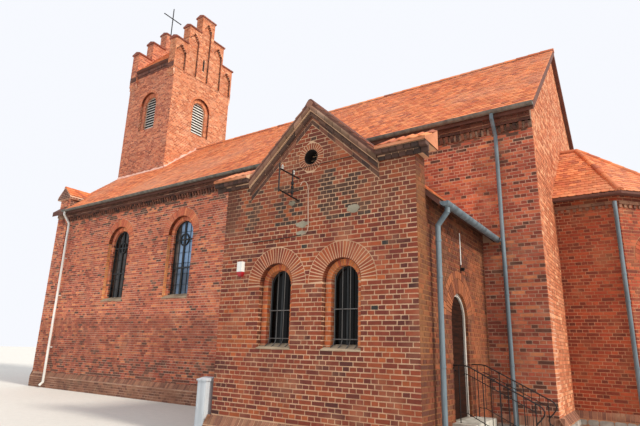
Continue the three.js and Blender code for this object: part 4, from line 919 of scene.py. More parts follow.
@dataclass(frozen=True)
class Plinth:
    """A plinth: upright bricks under a sloped course of bricks on edge."""

    shoulder: float = 0.41
    top: float = 0.56
    out: float = 0.1

    def lay(self, blocks: Blocks, bond: Bond, runs: Sequence[tuple]) -> None:
        """Lay stretches of the plinth.

        Args:
            blocks: Where they are collected.
            bond: The bond of the upright bricks.
            runs: The side, its X or Y, the start and the end of each stretch.
        """
        for side, at, start, end in runs:
            bond.cover(blocks, side, at, sheet(start, 0.006, end, self.shoulder))
            self.slope(blocks, side.face(at), *side.ends(start, end))

    def slope(self, blocks: Blocks, face: Face, start: float, end: float) -> None:
        """Lay the sloped course.

        Args:
            blocks: Where it is collected.
            face: The plinth's upright face.
            start: First u.
            end: Last u.
        """
        normal, rise = unit(face.normal), self.top - self.shoulder
        sloped = Face(face.origin + self.shoulder * UP, normal * rise + self.out * UP,
                      rise * UP - normal * self.out)
        blocks.row(sloped, (start, end), (0.0, math.hypot(self.out, rise)), 0.085, 0.012, (-0.007, 0.01))


@dataclass(frozen=True)
class Opening:
    """A round-headed opening in two orders, with the bricks round and inside it."""

    half: float
    sill: float
    springing: float
    recess: float
    inner_half: float
    reach: float
    ring: float
    wedges: int
    inner_sill: float
    joint: float = 0.012
    proud: float = 0.01

    def hole(self, centre: float) -> list:
        """Outline what the wall's bricks leave bare."""
        return arch(centre, self.half, self.sill, self.springing, self.ring + 0.018)

    def lay(self, blocks: Blocks, face: Face, centre: float, bond: Bond, inside: Optional[Blocks] = None,
            jambs: Optional[Blocks] = None, soffit: Optional[Blocks] = None) -> None:
        """Lay the ring, jambs and inner order.

        Args:
            blocks: Bricks of the outer order.
            face: The wall's face.
            centre: Centre line on the face.
            bond: The wall's bond.
            inside: Bricks of the inner order, or None for the same.
            jambs: Bricks of the outer order's jambs, or None for the same.
            soffit: Bricks of a lining under the outer arch that paints its shade, or None for no lining.
        """
        inside, lip, spring = inside or blocks, 0.004, self.springing
        seat, deep, drop = face.deeper(self.recess), self.reach - self.recess, spring % bond.course
        turn = math.asin(drop / (self.half + self.ring)) if drop < bond.course / 2 else 0.0
        turns = (-turn, math.pi + turn)
        Ring(self.half - lip, self.half + self.ring, self.wedges, self.joint, self.proud).lay(
            blocks, face, centre, spring, self.recess, turns)
        # A thin dark ring under the outer arch paints the shade of its soffit.
        if soffit:
            Ring(self.half - 0.012, self.half - lip, self.wedges, 0.004, 0.0).lay(
                soffit, face, centre, spring, self.recess - 0.004, turns)
        for sign in (-1, 1):
            outer, inner = centre + sign * self.half, centre + sign * self.inner_half
            bond.lay(jambs or blocks, face.jamb(outer, sign < 0, 0.0, self.recess),
                     sheet(0, self.sill, self.recess, spring))
            bond.lay(inside, face.jamb(inner, sign < 0, self.recess, self.reach),
                     sheet(0, self.inner_sill, deep, spring))
            bond.lay(inside, seat, sheet(inner, self.sill, outer, spring))
        Ring(self.inner_half - lip, self.half + lip, max(9, int(self.wedges * 0.62))).lay(
            inside, seat, centre, spring, deep, turns)

    def lay_sill(self, blocks: Blocks, face: Face, centre: float, hang: float) -> None:
        """Add the sloped cement sill.

        Args:
            blocks: Where it is collected.
            face: The wall's face.
            centre: Centre line on the face.
            hang: How far its front hangs down.
        """
        low, inner = self.sill - hang, self.inner_sill + 0.012
        outer = [(-0.022, low), (self.recess, low), (self.recess, inner), (-0.022, self.sill + 0.005)]
        deep = [(self.recess, low), (self.reach, low), (self.reach, inner + 0.045), (self.recess, inner)]
        for half, profile in ((self.half - 0.006, outer), (self.inner_half - 0.004, deep)):
            depth, v = np.array(profile).T
            blocks.add([np.concatenate([face.at(centre + u, v, depth) for u in (-half, half)])])

    def rim(self, inset: float, centre: float, y: float, foot: float, count: int = 17) -> list:
        """Trace the inner opening's outline in front of a glass at y.

        Args:
            inset: How far inside the opening it runs.
            centre: Centre line in X.
            y: Where it lies.
            foot: Height of its foot.
            count: Number of points round the head.

        Returns:
            A closed path in the plan's frame.
        """
        rim = self.inner_half - inset
        head = curve(centre, self.springing, rim, np.linspace(0, math.pi, count))
        return [(x, y, z) for x, z in ((centre + rim, foot), *head, (centre - rim, foot),
                                       (centre + rim, foot))]


# Roofs


@dataclass(frozen=True)
class TileLaying:
    """Plain clay tiles with rounded tails, laid in staggered rows."""

    width: float = 0.175
    gauge: float = 0.155
    thick: float = 0.014
    lift: float = 0.012
    overlap: float = 1.75
    tail: float = 0.028
    corner: float = 0.045
    gap: float = 0.002
    least_cut: float = 0.03

    def lay(self, blocks: Blocks, face: Face, outline: Outline, holes: Sequence[Outline] = ()) -> None:
        """Lay tiles over a roof slope.

        Args:
            blocks: Where they are collected.
            face: The slope, with v up it.
            outline: The outline to cover.
            holes: Outlines to leave bare.
        """
        low, high = min(v for _, v in outline), max(v for _, v in outline)
        rows = int(round((high - low) / self.gauge))
        gauge = (high - low) / rows
        uv = []
        for row in range(rows):
            v0 = low + row * gauge
            start = (row % 2) * self.width / 2
            for a, b in spans(outline, v0 + gauge * 0.5, holes):
                steps = np.arange(math.floor((a - start) / self.width),
                                  math.ceil((b - start) / self.width) + 1)
                edges = steps * self.width + start
                inner = edges[(edges > a + self.least_cut) & (edges < b - self.least_cut)]
                edges = np.concatenate([[a], inner, [b]])
                u0, u1 = edges[:-1] + self.gap, edges[1:] - self.gap
                cut = np.minimum(self.corner, (u1 - u0) * 0.3)
                head = np.full_like(u0, min(v0 + gauge * self.overlap, high))
                foot = v0 + blocks.rng.normal(0, 0.003, len(u0))
                side = foot + self.tail
                uv.append(np.stack([u0 + cut, foot, u1 - cut, foot, u1, side, u1, head, u0, head,
                                    u0, side], 1))
        corners = np.concatenate(uv).reshape(-1, 6, 2)
        up = (corners[..., 1] - corners[..., 1].min(axis=1, keepdims=True)) / (gauge * self.overlap)
        tilt = self.lift + self.thick * 1.3 * (1.0 - up) + blocks.rng.normal(0, 0.0015, (len(corners), 1))
        blocks.on_face(face, corners, -tilt, self.thick - tilt)


def roof_slope(eave: Point, outward: Point, pitch: float) -> Face:
    """Make the face of a roof slope."""
    out, cos, sin = unit(outward), slant(pitch), math.sin(math.atan(pitch))
    return Face(eave, out * sin + UP * cos, UP * sin - out * cos)


# Sub-assemblies


@dataclass
class Assembly:
    """A sub-assembly: its pieces become meshes once all its parts are laid."""

    def __post_init__(self) -> None:
        """Start without pieces."""
        self.pieces: list = []

    def piece(self, name: str, seed: int, finish: Finish, **settings: object) -> Blocks:
        """Start a piece, which build makes."""
        self.pieces.append(Blocks(name, seed, finish, **settings))
        return self.pieces[-1]

    def lay(self) -> None:
        """Lay the parts and dress the solids."""
        raise NotImplementedError

    def build(self) -> None:
        """Lay the parts, then make the pieces."""
        self.lay()
        for piece in self.pieces:
            piece.make()


@dataclass
class Nave(Assembly):
    """The nave: walls, corner piers, cornices, plinths, windows and roof."""

    bond: Bond = Bond(joint=0.016)
    window: Opening = Opening(0.62, 3.21, 5.36, 0.13, 0.475, 0.23, 0.27, 33, 3.29, 0.014)
    plinth: Plinth = Plinth()
    front_windows: tuple = (4.45, 7.875, 11.3)
    back_windows: tuple = (4.45, 7.875, 11.3, 14.725)
    wall_top: float = 6.59
    eave_out: float = 0.33
    gable_out: float = 0.12
    pier_west: float = -0.04
    pier_east: float = 0.69
    pier_out: float = 0.06
    pier_top: float = 7.61
    cap_half: float = 0.48
    cap_eave: float = 7.7
    cap_top: float = 8.15

    def lay(self) -> None:
        """Lay and dress the nave."""
        self.walls()
        self.cornices()
        self.plinths()
        self.windows()
        self.roof()
        self.pier_caps()
        NAVE_MORTAR.dress("nave_front_wall", "nave_back_wall", "west_front")
        EAST_MORTAR.dress("nave_east_wall")
        CORNICE_BRICK.dress("nave_roof_front", "nave_roof_back")
        WEST_GLASS.dress("nave_front_window_1")
        NAVE_GLASS.dress("nave_front_window_2", "nave_front_window_3", "nave_back_window_sheet")
        GUTTER_ZINC.dress("nave_gutter_front", "nave_gutter_back")
        PIPE_ZINC.dress("nave_downpipe", "chancel_downpipe", "annex_downpipe")
        WHITE_PAINT.dress("west_downpipe")
        PAVING.dress("church_floor", "annex_floor")

    def walls(self) -> None:
        """Lay the bricks of the long walls, the corner piers and the east gable."""
        low, top, length, width = self.plinth.top, self.wall_top, PLAN.length, PLAN.width
        annex = [(13.69, -1), (17.92, -1), (17.92, 4.04), (18.19, 4.04), (18.19, 4.18),
                 (PLAN.annex_mid, 6.41), (13.42, 4.18), (13.42, 4.04), (13.69, 4.04)]
        front = self.piece("nave_front_bricks", 11, NAVE_BRICK)
        rear = self.piece("nave_back_bricks", 12, NAVE_BRICK)
        jambs = self.piece("nave_window_jambs", 14, LIT_REVEAL)
        soffits = self.piece("nave_window_soffits", 15, SHADED_REVEAL)
        for bricks, side, at, centres, more in ((front, SOUTH, 0, self.front_windows, [annex]),
                                                (rear, NORTH, width, self.back_windows, [])):
            holes = [self.window.hole(c) for c in centres] + more
            self.bond.cover(bricks, side, at, sheet(self.pier_east, low, length, top), holes, self.tone)
            for centre in centres:
                self.window.lay(bricks, side.face(at), side.u(centre), self.bond, None, jambs, soffits)
            outer, inner = at + side.sign * self.pier_out, at - side.sign * 0.5
            self.bond.cover(bricks, side, outer, sheet(self.pier_west, low, self.pier_east, self.pier_top))
            self.bond.cover(bricks, WEST, self.pier_west, sheet(outer, low, inner, self.pier_top))
            self.bond.cover(bricks, EAST, self.pier_east, sheet(outer, low, at, top))
        mid, half, eave = PLAN.axis, PLAN.chancel_half, PLAN.roof_under(0)
        chancel = [(mid - half, 0), (mid - half, 5.3), (mid - half - 0.27, 5.34), (mid, 7.46),
                   (mid + half + 0.27, 5.34), (mid + half, 5.3), (mid + half, 0)]
        gable = [(0, low), (width, low), (width, eave), (mid, PLAN.roof_under(mid)), (0, eave)]
        # The east gable takes the sunlit copy of the brick: painted light.
        self.bond.cover(self.piece("nave_east_bricks", 13, SUNLIT_EAST_BRICK), EAST, length, gable, [chancel],
                        self.tone)

    def tone(self, u: np.ndarray, size: np.ndarray, v: float, rng: np.random.Generator) -> np.ndarray:
        """Pick brick tones in soft clusters, darker in the lowest and highest rows.

        Args:
            u: Places along the wall.
            size: Lengths of the bricks.
            v: Height of the row.
            rng: Random numbers.

        Returns:
            First tint numbers.
        """
        tone = 0.66 * rng.random(len(u)) + 0.36 * drift(u, v) + 0.06
        tone = np.clip(np.where(size < 0.17, tone - 0.22, tone), 0, 0.94)
        return np.where(rng.random(len(u)) < (0.28 if v < 1.2 or v > 6.3 else 0.05), 0.97, tone)

    def cornices(self) -> None:
        """Lay the dentils, the moulding and the fascia under both eaves."""
        bands = (((6.74, 6.81), 0.26, (-0.1, -0.05)), ((6.82, 6.885), 0.26, (-0.138, -0.09)),
                 ((6.895, 6.99), 0.13, (-0.138, -0.09)))
        for name, side, at in (("front", SOUTH, 0), ("back", NORTH, PLAN.width)):
            cornice = self.piece(f"nave_{name}_cornice", 21, CORNICE_BRICK)
            dentils = self.piece(f"nave_{name}_dentils", 23, RAKE_BRICK)
            face, (start, end) = side.face(at), side.ends(self.pier_east + 0.01, PLAN.length)
            for offset, heights in ((0.0, (6.585, 6.66)), (0.065, (6.665, 6.735))):
                dentils.row(face, (start + offset, end), heights, 0.13, 0.0, (-0.085, -0.02), 0.5)
            for heights, pitch, depths in bands:
                cornice.row(face, (start, end), heights, pitch, 0.01, depths)

    def plinths(self) -> None:
        """Lay the nave's plinths."""
        out, width, length = self.plinth.out, PLAN.width, PLAN.length
        self.plinth.lay(self.piece("nave_plinth_bricks", 31, PLINTH_BRICK), self.bond, (
            (SOUTH, -out, -out, 13.59), (SOUTH, -out, 18.02, length + out),
            (NORTH, width + out, -out, length + out), (WEST, -out, -out, width + out),
            (EAST, length + out, -out, 1.93), (EAST, length + out, 6.55, width + out)))

    def windows(self) -> None:
        """Build the windows' metal frames and bars, and the cement sills."""
        for index, centre in enumerate(self.front_windows, 1):
            bars = self.piece(f"nave_front_window_bars_{index}", 40 + index, WINDOW_METAL, smooth=True)
            self.bars(bars, centre, 0.215, 1)
        bars = self.piece("nave_back_window_bars", 45, WINDOW_METAL, smooth=True)
        for centre in self.back_windows:
            self.bars(bars, centre, PLAN.width - 0.4, -1)
        sills = self.piece("nave_window_sills", 46, PALE_CEMENT)
        for side, at, centres in ((SOUTH, 0, self.front_windows), (NORTH, PLAN.width, self.back_windows)):
            for centre in centres:
                self.window.lay_sill(sills, side.face(at), side.u(centre), 0.03)

    def bars(self, blocks: Blocks, centre: float, y: float, inward: int) -> None:
        """Build one window's frame, mullion, ring cross and bars in front of its glass.

        Args:
            blocks: Where they are collected.
            centre: Centre line in X.
            y: Where the bars' middle lies.
            inward: 1 on the front, -1 on the back.
        """
        sill, spring, rim = self.window.inner_sill, self.window.springing, self.window.inner_half - 0.025
        blocks.tube(self.window.rim(0.025, centre, y, sill), 0.025, 6)
        blocks.box((centre - 0.04, y - 0.02, sill), (centre + 0.04, y + 0.02, spring + rim))
        for level, rise in ((4.19, 0.045), (5.15, 0.05)):
            blocks.box((centre - rim, y - 0.022, level), (centre + rim, y + 0.022, level + rise))
        blocks.tube([(x, y - 0.012 * inward, z) for x, z in circle(centre, 5.175, 0.2)], 0.028, 6,
                    closed=True)
        for x in (-0.25, 0.25):
            blocks.tube([(centre + x, y, sill), (centre + x, y, spring + chord(rim, x))], 0.009, 6)
            for level in np.arange(3.65, 5.6, 0.36):
                reach = math.copysign(chord(rim, max(level - spring, 0.0)), x)
                blocks.tube([(centre, y, level), (centre + reach, y, level)], 0.006, 5)

    def roof(self) -> None:
        """Lay the roof tiles and ridge."""
        out, end, cos = self.eave_out, PLAN.length + self.gable_out, slant(PLAN.pitch)
        length, tower = (PLAN.axis + out) / cos, (PLAN.tower_south + out) / cos
        holes = [sheet(-1, tower, PLAN.tower_length, length + 1),
                 [(-1, -1), (0.84, -1), (0.84, 1.05), (0.33, 1.75), (-1, 1.05)]]
        for name, side, y in (("front", SOUTH, -out), ("back", NORTH, PLAN.width + out)):
            slope = roof_slope((0, y, PLAN.roof_top(-out)), side.value, PLAN.pitch)
            TileLaying().lay(self.piece(f"nave_roof_{name}_tiles", 51, ROOF_TILE), slope,
                             side.draw(sheet(-0.06, 0, end, length)), [side.draw(hole) for hole in holes])
        self.piece("nave_ridge_tiles", 53, ROOF_TILE, smooth=True).ridge(
            (PLAN.tower_length + 0.01, PLAN.axis, PLAN.apex), (end, PLAN.axis, PLAN.apex), 0.11, drop=0.04)

    def pier_caps(self) -> None:
        """Lay the tiles and bricks of the corner piers' saddle caps."""
        caps = self.piece("pier_cap_tiles", 61, ROOF_TILE)
        bricks = self.piece("pier_cap_bricks", 62, CORNICE_BRICK)
        mid, half = (self.pier_west + self.pier_east) / 2, self.cap_half
        eave, top = self.cap_eave, self.cap_top
        width, length = PLAN.width, math.hypot(half, top - eave)
        laying = TileLaying(width=0.2, gauge=0.2, thick=0.018)
        for side in (WEST, EAST):
            slope = roof_slope((mid + side.sign * half, 0, eave), side.value, (top - eave) / half)
            for near, far, roof, edge in ((-0.165, 1.0, 0.35, 1.1),
                                          (width + 0.165, width - 1.0, width - 0.35, width - 1.1)):
                cut = [(roof, -0.1), (edge, -0.1), (edge, 0.62)]
                laying.lay(caps, slope, side.draw(sheet(near, 0.045, far, length)), [side.draw(cut)])
        gable = [(mid - 0.47, 7.615), (mid + 0.47, 7.615), (mid + 0.47, eave), (mid, 8.12),
                 (mid - 0.47, eave)]
        for side, near, far, wall in ((SOUTH, -0.18, 1.0, -0.17),
                                      (NORTH, width - 1.0, width + 0.18, width + 0.17)):
            caps.ridge((mid, near, top), (mid, far, top), 0.075, 0.3)
            self.bond.cover(bricks, side, wall, gable)
        for at, sign in ((0.0, 1), (width, -1)):
            self.bond.cover(bricks, EAST, mid + half, sheet(at - 0.17 * sign, 7.615, at + 0.42 * sign, 7.695))
            self.bond.cover(bricks, EAST, self.pier_east, sheet(at - 0.06 * sign, 7.2, at + 0.4 * sign, 7.61))


@dataclass
class Tower(Assembly):
    """The west tower: walls, bell openings, stepped gables, roof, cross and west front."""

    bond: Bond = Bond()
    bell: Opening = Opening(0.58, 11.6, 12.99, 0.12, 0.4, 0.19, 0.13, 21, 11.6)
    door: Opening = Opening(0.93, 0.6, 2.9, 0.15, 0.75, 0.2, 0.27, 31, 0.6)
    steps: tuple = ((1.9, 16.08), (1.17, 17.13), (0.42, 18.13))
    front_foot: float = 0.56
    front_inset: float = 0.5
    leaf_half: float = 0.745
    leaf_foot: float = 0.61
    wing_foot: float = 14.08
    niche_half: float = 0.29
    centre_half: float = 0.24
    niche_foot: float = 14.52
    niche_deep: float = 0.12
    niche_drop: float = 0.54
    niche_tooth: float = 0.095
    coping: float = 0.18
    coping_brick: float = 0.085
    eave: float = 15.0
    eave_out: float = 0.13
    ridge: float = 17.3

    def lay(self) -> None:
        """Lay and dress the tower."""
        self.shaft()
        self.gables()
        self.copings()
        self.eave_bands()
        self.roof()
        self.flashing()
        self.louvres()
        self.west_door()
        NAVE_MORTAR.dress("tower_east_wall", "tower_south_wall", "tower_north_wall", "tower_east_gable",
                          "tower_west_gable")
        CORNICE_BRICK.dress("tower_roof")
        IRON.dress("tower_cross")

    @property
    def sides(self) -> tuple:
        """The four sides, each with its X or Y and its centre line."""
        mid = PLAN.tower_length / 2
        return ((SOUTH, PLAN.tower_south, mid), (NORTH, PLAN.tower_north, mid),
                (EAST, PLAN.tower_length, PLAN.axis), (WEST, 0.0, PLAN.axis))

    def shaft(self) -> None:
        """Lay the bricks of the tower's four sides and of the west front."""
        south, north, top, axis = PLAN.tower_south, PLAN.tower_north, PLAN.tower_top, PLAN.axis
        foot, wing, under = PLAN.roof_top(south) - 0.02, self.wing_foot, PLAN.roof_under
        x0, x1 = PLAN.gable_west, PLAN.gable_east
        flank = [(0.0, foot), (PLAN.tower_length, foot), (PLAN.tower_length, wing), (x1, wing),
                 (x1, wing + 0.8), (x0, wing + 0.8), (x0, wing), (0.0, wing)]
        east = [(south, foot), (axis, PLAN.apex), (north, foot), (north, top), (south, top)]
        near, far, low = self.front_inset, PLAN.width - self.front_inset, self.front_foot
        west = [(near, low), (far, low), (far, under(near)), (north, under(north)), (north, top),
                (south, top), (south, under(south)), (near, under(near))]
        jambs = self.piece("tower_bell_jambs", 77, SHADED_REVEAL)
        shaft = self.piece("tower_shaft_bricks", 71, TOWER_BRICK)
        lit = self.piece("tower_east_bricks", 75, SUNLIT_EAST_BRICK)
        front = self.piece("west_front_bricks", 72, TOWER_BRICK)
        for (side, at, centre), blocks, outline in zip(self.sides, (shaft, shaft, lit, front),
                                                       (flank, flank, east, west)):
            holes = [self.bell.hole(centre)] + ([self.door.hole(axis)] if side is WEST else [])
            self.bond.cover(blocks, side, at, outline, holes)
            self.bell.lay(blocks, side.face(at), side.u(centre), self.bond, None, jambs, jambs)
        self.door.lay(front, WEST.face(0), -axis, self.bond)

    def outline(self) -> list:
        """Outline a stepped gable over its base."""
        base, right = PLAN.tower_top, []
        for half, top in self.steps:
            right += [(PLAN.axis + half, base), (PLAN.axis + half, top)]
            base = top
        return right + [(2 * PLAN.axis - u, v) for u, v in reversed(right)]

    def niche(self, centre: float, top: float) -> list:
        """Outline a blind niche with its stepped head."""
        half = self.centre_half if centre == PLAN.axis else self.niche_half
        head, tooth = top - self.niche_drop, self.niche_tooth
        right = [(half, self.niche_foot), (half, head)]
        for tier, share in enumerate((0.75, 0.5, 0.25)):
            right += [(half * share, head + tier * tooth), (half * share, head + (tier + 1) * tooth)]
        return [(centre + u, v) for u, v in right] + [(centre - u, v) for u, v in reversed(right)]

    def gables(self) -> None:
        """Lay the bricks of both stepped gables, with their niches and step sides, and dark brick that paints
        the shade in the niches, behind the slit and under the niches' foot course.
        """
        (low, low_top), (mid, mid_top), (high, high_top) = self.steps
        axis, wing, foot = PLAN.axis, self.wing_foot, self.wing_foot + 0.16
        niches = [(axis, high_top)]
        for sign in (-1, 1):
            niches += [(axis + sign * (low + mid) / 2, low_top), (axis + sign * (mid + high) / 2, mid_top)]
        outlines = [self.niche(centre, top) for centre, top in niches]
        slit = sheet(axis - 0.06, 15.2, axis + 0.06, 15.85)
        lit = self.piece("tower_east_gable_bricks", 73, SUNLIT_EAST_BRICK)
        shaded = self.piece("tower_west_gable_bricks", 74, TOWER_BRICK)
        shade_linings = self.piece("tower_niche_shade_linings", 76, RAKE_BRICK)
        shade_backs = self.piece("tower_slit_shade_backs", 78, HOLE_SHADE_BRICK)
        flanks = ((low, foot, low_top), (mid, low_top, mid_top), (high, mid_top, high_top),
                  (1.86, wing, foot))
        for bricks, side, back, x, inner in ((lit, EAST, WEST, PLAN.tower_length, PLAN.gable_east),
                                             (shaded, WEST, EAST, 0.0, PLAN.gable_west)):
            self.bond.cover(bricks, side, x, self.outline(), outlines)
            seat = x - side.sign * self.niche_deep
            for outline in outlines:
                self.line_niche_shade(shade_linings, side.face(x), side.draw(outline), side is WEST)
                self.bond.cover(bricks, side, seat, outline, [slit] if outline is outlines[0] else [])
            # Near-black back of the slit: painted shade.
            shade_backs.on_face(side.face(seat), [side.draw(slit)], 0.012, 0.03)
            # A thin course of dark brick at the niches' feet: its dark colour paints the shadow line there.
            shade_linings.row(side.face(x), side.ends(axis - 1.86, axis + 1.86), (14.485, 14.505), 0.26, 0.0,
                        (-0.012, 0.0))
            self.bond.cover(bricks, back, inner, self.outline())
            for flank in (SOUTH, NORTH):
                for half, base, top in flanks:
                    self.bond.cover(bricks, flank, axis + flank.sign * half, sheet(x, base, inner, top))

    def line_niche_shade(self, blocks: Blocks, face: Face, loop: Outline, both: bool) -> None:
        """Line a niche's sides and the undersides of its stepped head with dark brick that paints the shade
        there.

        Args:
            blocks: Where they are collected.
            face: The gable's face.
            loop: The niche's outline.
            both: True to line the jamb on the low side as well.
        """
        deep, mid = self.niche_deep, np.mean([u for u, _ in loop])
        for (u0, v0), (u1, v1) in zip(loop, [*loop[1:], loop[0]]):
            if abs(v1 - v0) > 0.2 and (both or u0 > mid):
                self.bond.lay(blocks, face.jamb(u0, u0 < mid, 0.0, deep),
                              sheet(0, min(v0, v1), deep, max(v0, v1)))
            elif abs(u1 - u0) > 0.02 and v0 > 15.0:
                # Thin dark strips under the head's steps paint their shade.
                blocks.on_face(face, [sheet(u0, v0 - 0.012, u1, v0)], -0.008, deep - 0.002)

    def copings(self) -> None:
        """Lay the saddle copings of the steps as rows of gabled bricks."""
        coping = self.piece("tower_copings", 81, COPING_BRICK)
        (low, low_top), (mid, mid_top), (high, high_top) = self.steps
        axis, lap, out = PLAN.axis, 0.045, 0.055
        runs = [(axis - high - lap, axis + high + lap, high_top)]
        for sign in (-1, 1):
            runs.append((*sorted((axis + sign * mid, axis + sign * (low + lap))), low_top))
            runs.append((*sorted((axis + sign * high, axis + sign * (mid + lap))), mid_top))
        for x0, x1 in ((PLAN.gable_east - out, PLAN.tower_length + out), (-out, PLAN.gable_west + out)):
            for y0, y1, base in runs:
                shoulder = base + self.coping * 0.36
                profile = [(x0, base - 0.004), (x1, base - 0.004), (x1, shoulder),
                           ((x0 + x1) / 2, base + self.coping), (x0, shoulder)]
                edges = np.linspace(y0, y1, max(1, int(round((y1 - y0) / self.coping_brick))) + 1)
                gaps = np.full(len(edges), 0.004)
                gaps[0] = gaps[-1] = -0.006
                for near, far in zip(edges[:-1] + gaps[:-1], edges[1:] - gaps[1:]):
                    coping.add([SHIFT + [(x, y, z) for y in (near, far) for x, z in profile]])

    def eave_bands(self) -> None:
        """Lay the bands under the eaves and the dark bricks of the gables' wings, whose dark colour paints
        the shade at the kneelers.
        """
        band, dark = self.piece("tower_eave_bands", 82, CORNICE_BRICK), Bond(proud=0.016)
        for side, y, _ in self.sides[:2]:
            ends = side.ends(PLAN.gable_west + 0.02, PLAN.gable_east - 0.02)
            band.row(side.face(y), ends, (14.62, 14.7), 0.26, 0.01, (-0.03, 0.0))
            band.row(side.face(y), ends, (14.715, 14.86), 0.09, 0.01, (-0.06, 0.0))
            # Dark bricks on the wings' flanks paint the shade at the kneelers.
            for x0, x1 in ((2.885, 3.325), (0.005, 0.495)):
                dark.cover(band, side, PLAN.axis + side.sign * self.steps[0][0], sheet(x0, 14.5, x1, 14.8))

    def louvres(self) -> None:
        """Build the white sloping blades of the four bell openings in front of dark boards that paint the
        shade inside.
        """
        names = [f"tower_{side.name.lower()}_louvre" for side in Side]
        blades = self.piece("tower_louvre_blades", 87, SLAT_PAINT, replaces=names)
        shade_backs = self.piece("tower_louvre_shade_backs", 88, SHADE_BOARD)
        half, foot, spring = self.bell.inner_half - 0.004, self.bell.sill + 0.01, self.bell.springing
        front, tall = np.array([[0.2, 0.2, 0.258, 0.258]]), 0.088
        for side, at, centre in self.sides:
            face, middle = side.face(at), side.u(centre)
            # Dark board behind the blades: painted shade.
            shade_backs.on_face(face, [arch(middle, half, foot, spring)], 0.275, 0.3)
            for v in np.arange(foot + 0.02, spring + half - 0.1, 0.138):
                low, high = (chord(half, max(h - spring, 0.0)) for h in (v, v + tall))
                blades.on_face(face, [[(middle - low, v), (middle + low, v), (middle + high, v + tall),
                                       (middle - high, v + tall)]], front, front + 0.014)

    def roof(self) -> None:
        """Lay the tiles of the saddle roof between the gables."""
        half, rise = (PLAN.tower_north - PLAN.tower_south) / 2 + self.eave_out, self.ridge - self.eave
        tiles = self.piece("tower_roof_tiles", 83, ROOF_TILE)
        for side in (SOUTH, NORTH):
            slope = roof_slope((0, PLAN.axis + side.sign * half, self.eave), side.value, rise / half)
            TileLaying().lay(tiles, slope, side.draw(sheet(0.505, 0, 2.875, math.hypot(half, rise))))
        tiles.ridge((0.51, PLAN.axis, self.ridge), (2.86, PLAN.axis, self.ridge), 0.1)

    def flashing(self) -> None:
        """Lay the rough mortar fillet where the tower comes out of the nave roof."""
        fillet = self.piece("tower_flashing", 84, PINK_MORTAR)
        south, north, x = PLAN.tower_south, PLAN.tower_north, PLAN.tower_length
        foot, peak = PLAN.roof_top(south), (x, PLAN.axis, PLAN.apex)
        for start, end, side in (((0.0, south, foot), (x, south, foot), SOUTH),
                                 ((x, south, foot), peak, EAST),
                                 (peak, (x, north, foot), EAST),
                                 ((x, north, foot), (0.0, north, foot), NORTH)):
            a, b, out, level = SHIFT + start, SHIFT + end, np.asarray(side.value), side is not EAST
            count = int(np.linalg.norm(b - a) / 0.13)
            heights = fillet.rng.uniform(0.06, 0.12 if level else 0.17, count + 1)
            widths = fillet.rng.uniform(0.05, 0.08 if level else 0.13, count + 1)
            rings = []
            for k, (height, wide) in enumerate(zip(heights, widths)):
                base, drop = a + (b - a) * k / count, PLAN.pitch * wide if level else 0.0
                rings.append([base + out * away + UP * up for away, up in (
                    (-0.01, -0.03), (wide, -drop), (wide * 0.9, 0.035 - drop), (0.012, height),
                    (-0.01, height))])
            fillet.add([rings[i + 1] + rings[i] for i in range(count)])

    def west_door(self) -> None:
        """Build the closed west door's boards and straps."""
        WEST_TIMBER.dress("west_door")
        boards = self.piece("west_door_boards", 85, WEST_TIMBER)
        straps = self.piece("west_door_straps", 86, IRON)
        face, half, head, axis, gap = WEST.face(self.door.reach), self.leaf_half, 2.896, -PLAN.axis, 0.003
        edges = np.linspace(0.008, half, 6)
        for inner, outer in zip(edges[:-1], edges[1:]):
            for u0, u1 in ((inner, outer), (-outer, -inner)):
                left, right = axis + u0 + gap, axis + u1 - gap
                boards.on_face(face, [[(left, self.leaf_foot), (right, self.leaf_foot),
                                       (right, head + chord(half, u1)), (left, head + chord(half, u0))]],
                               -0.02, 0.0)
        for height in (1.0, 2.6):
            straps.row(face, (axis - 0.7, axis + 0.7), (height, height + 0.05), 0.7, 0.06, (-0.028, -0.018))


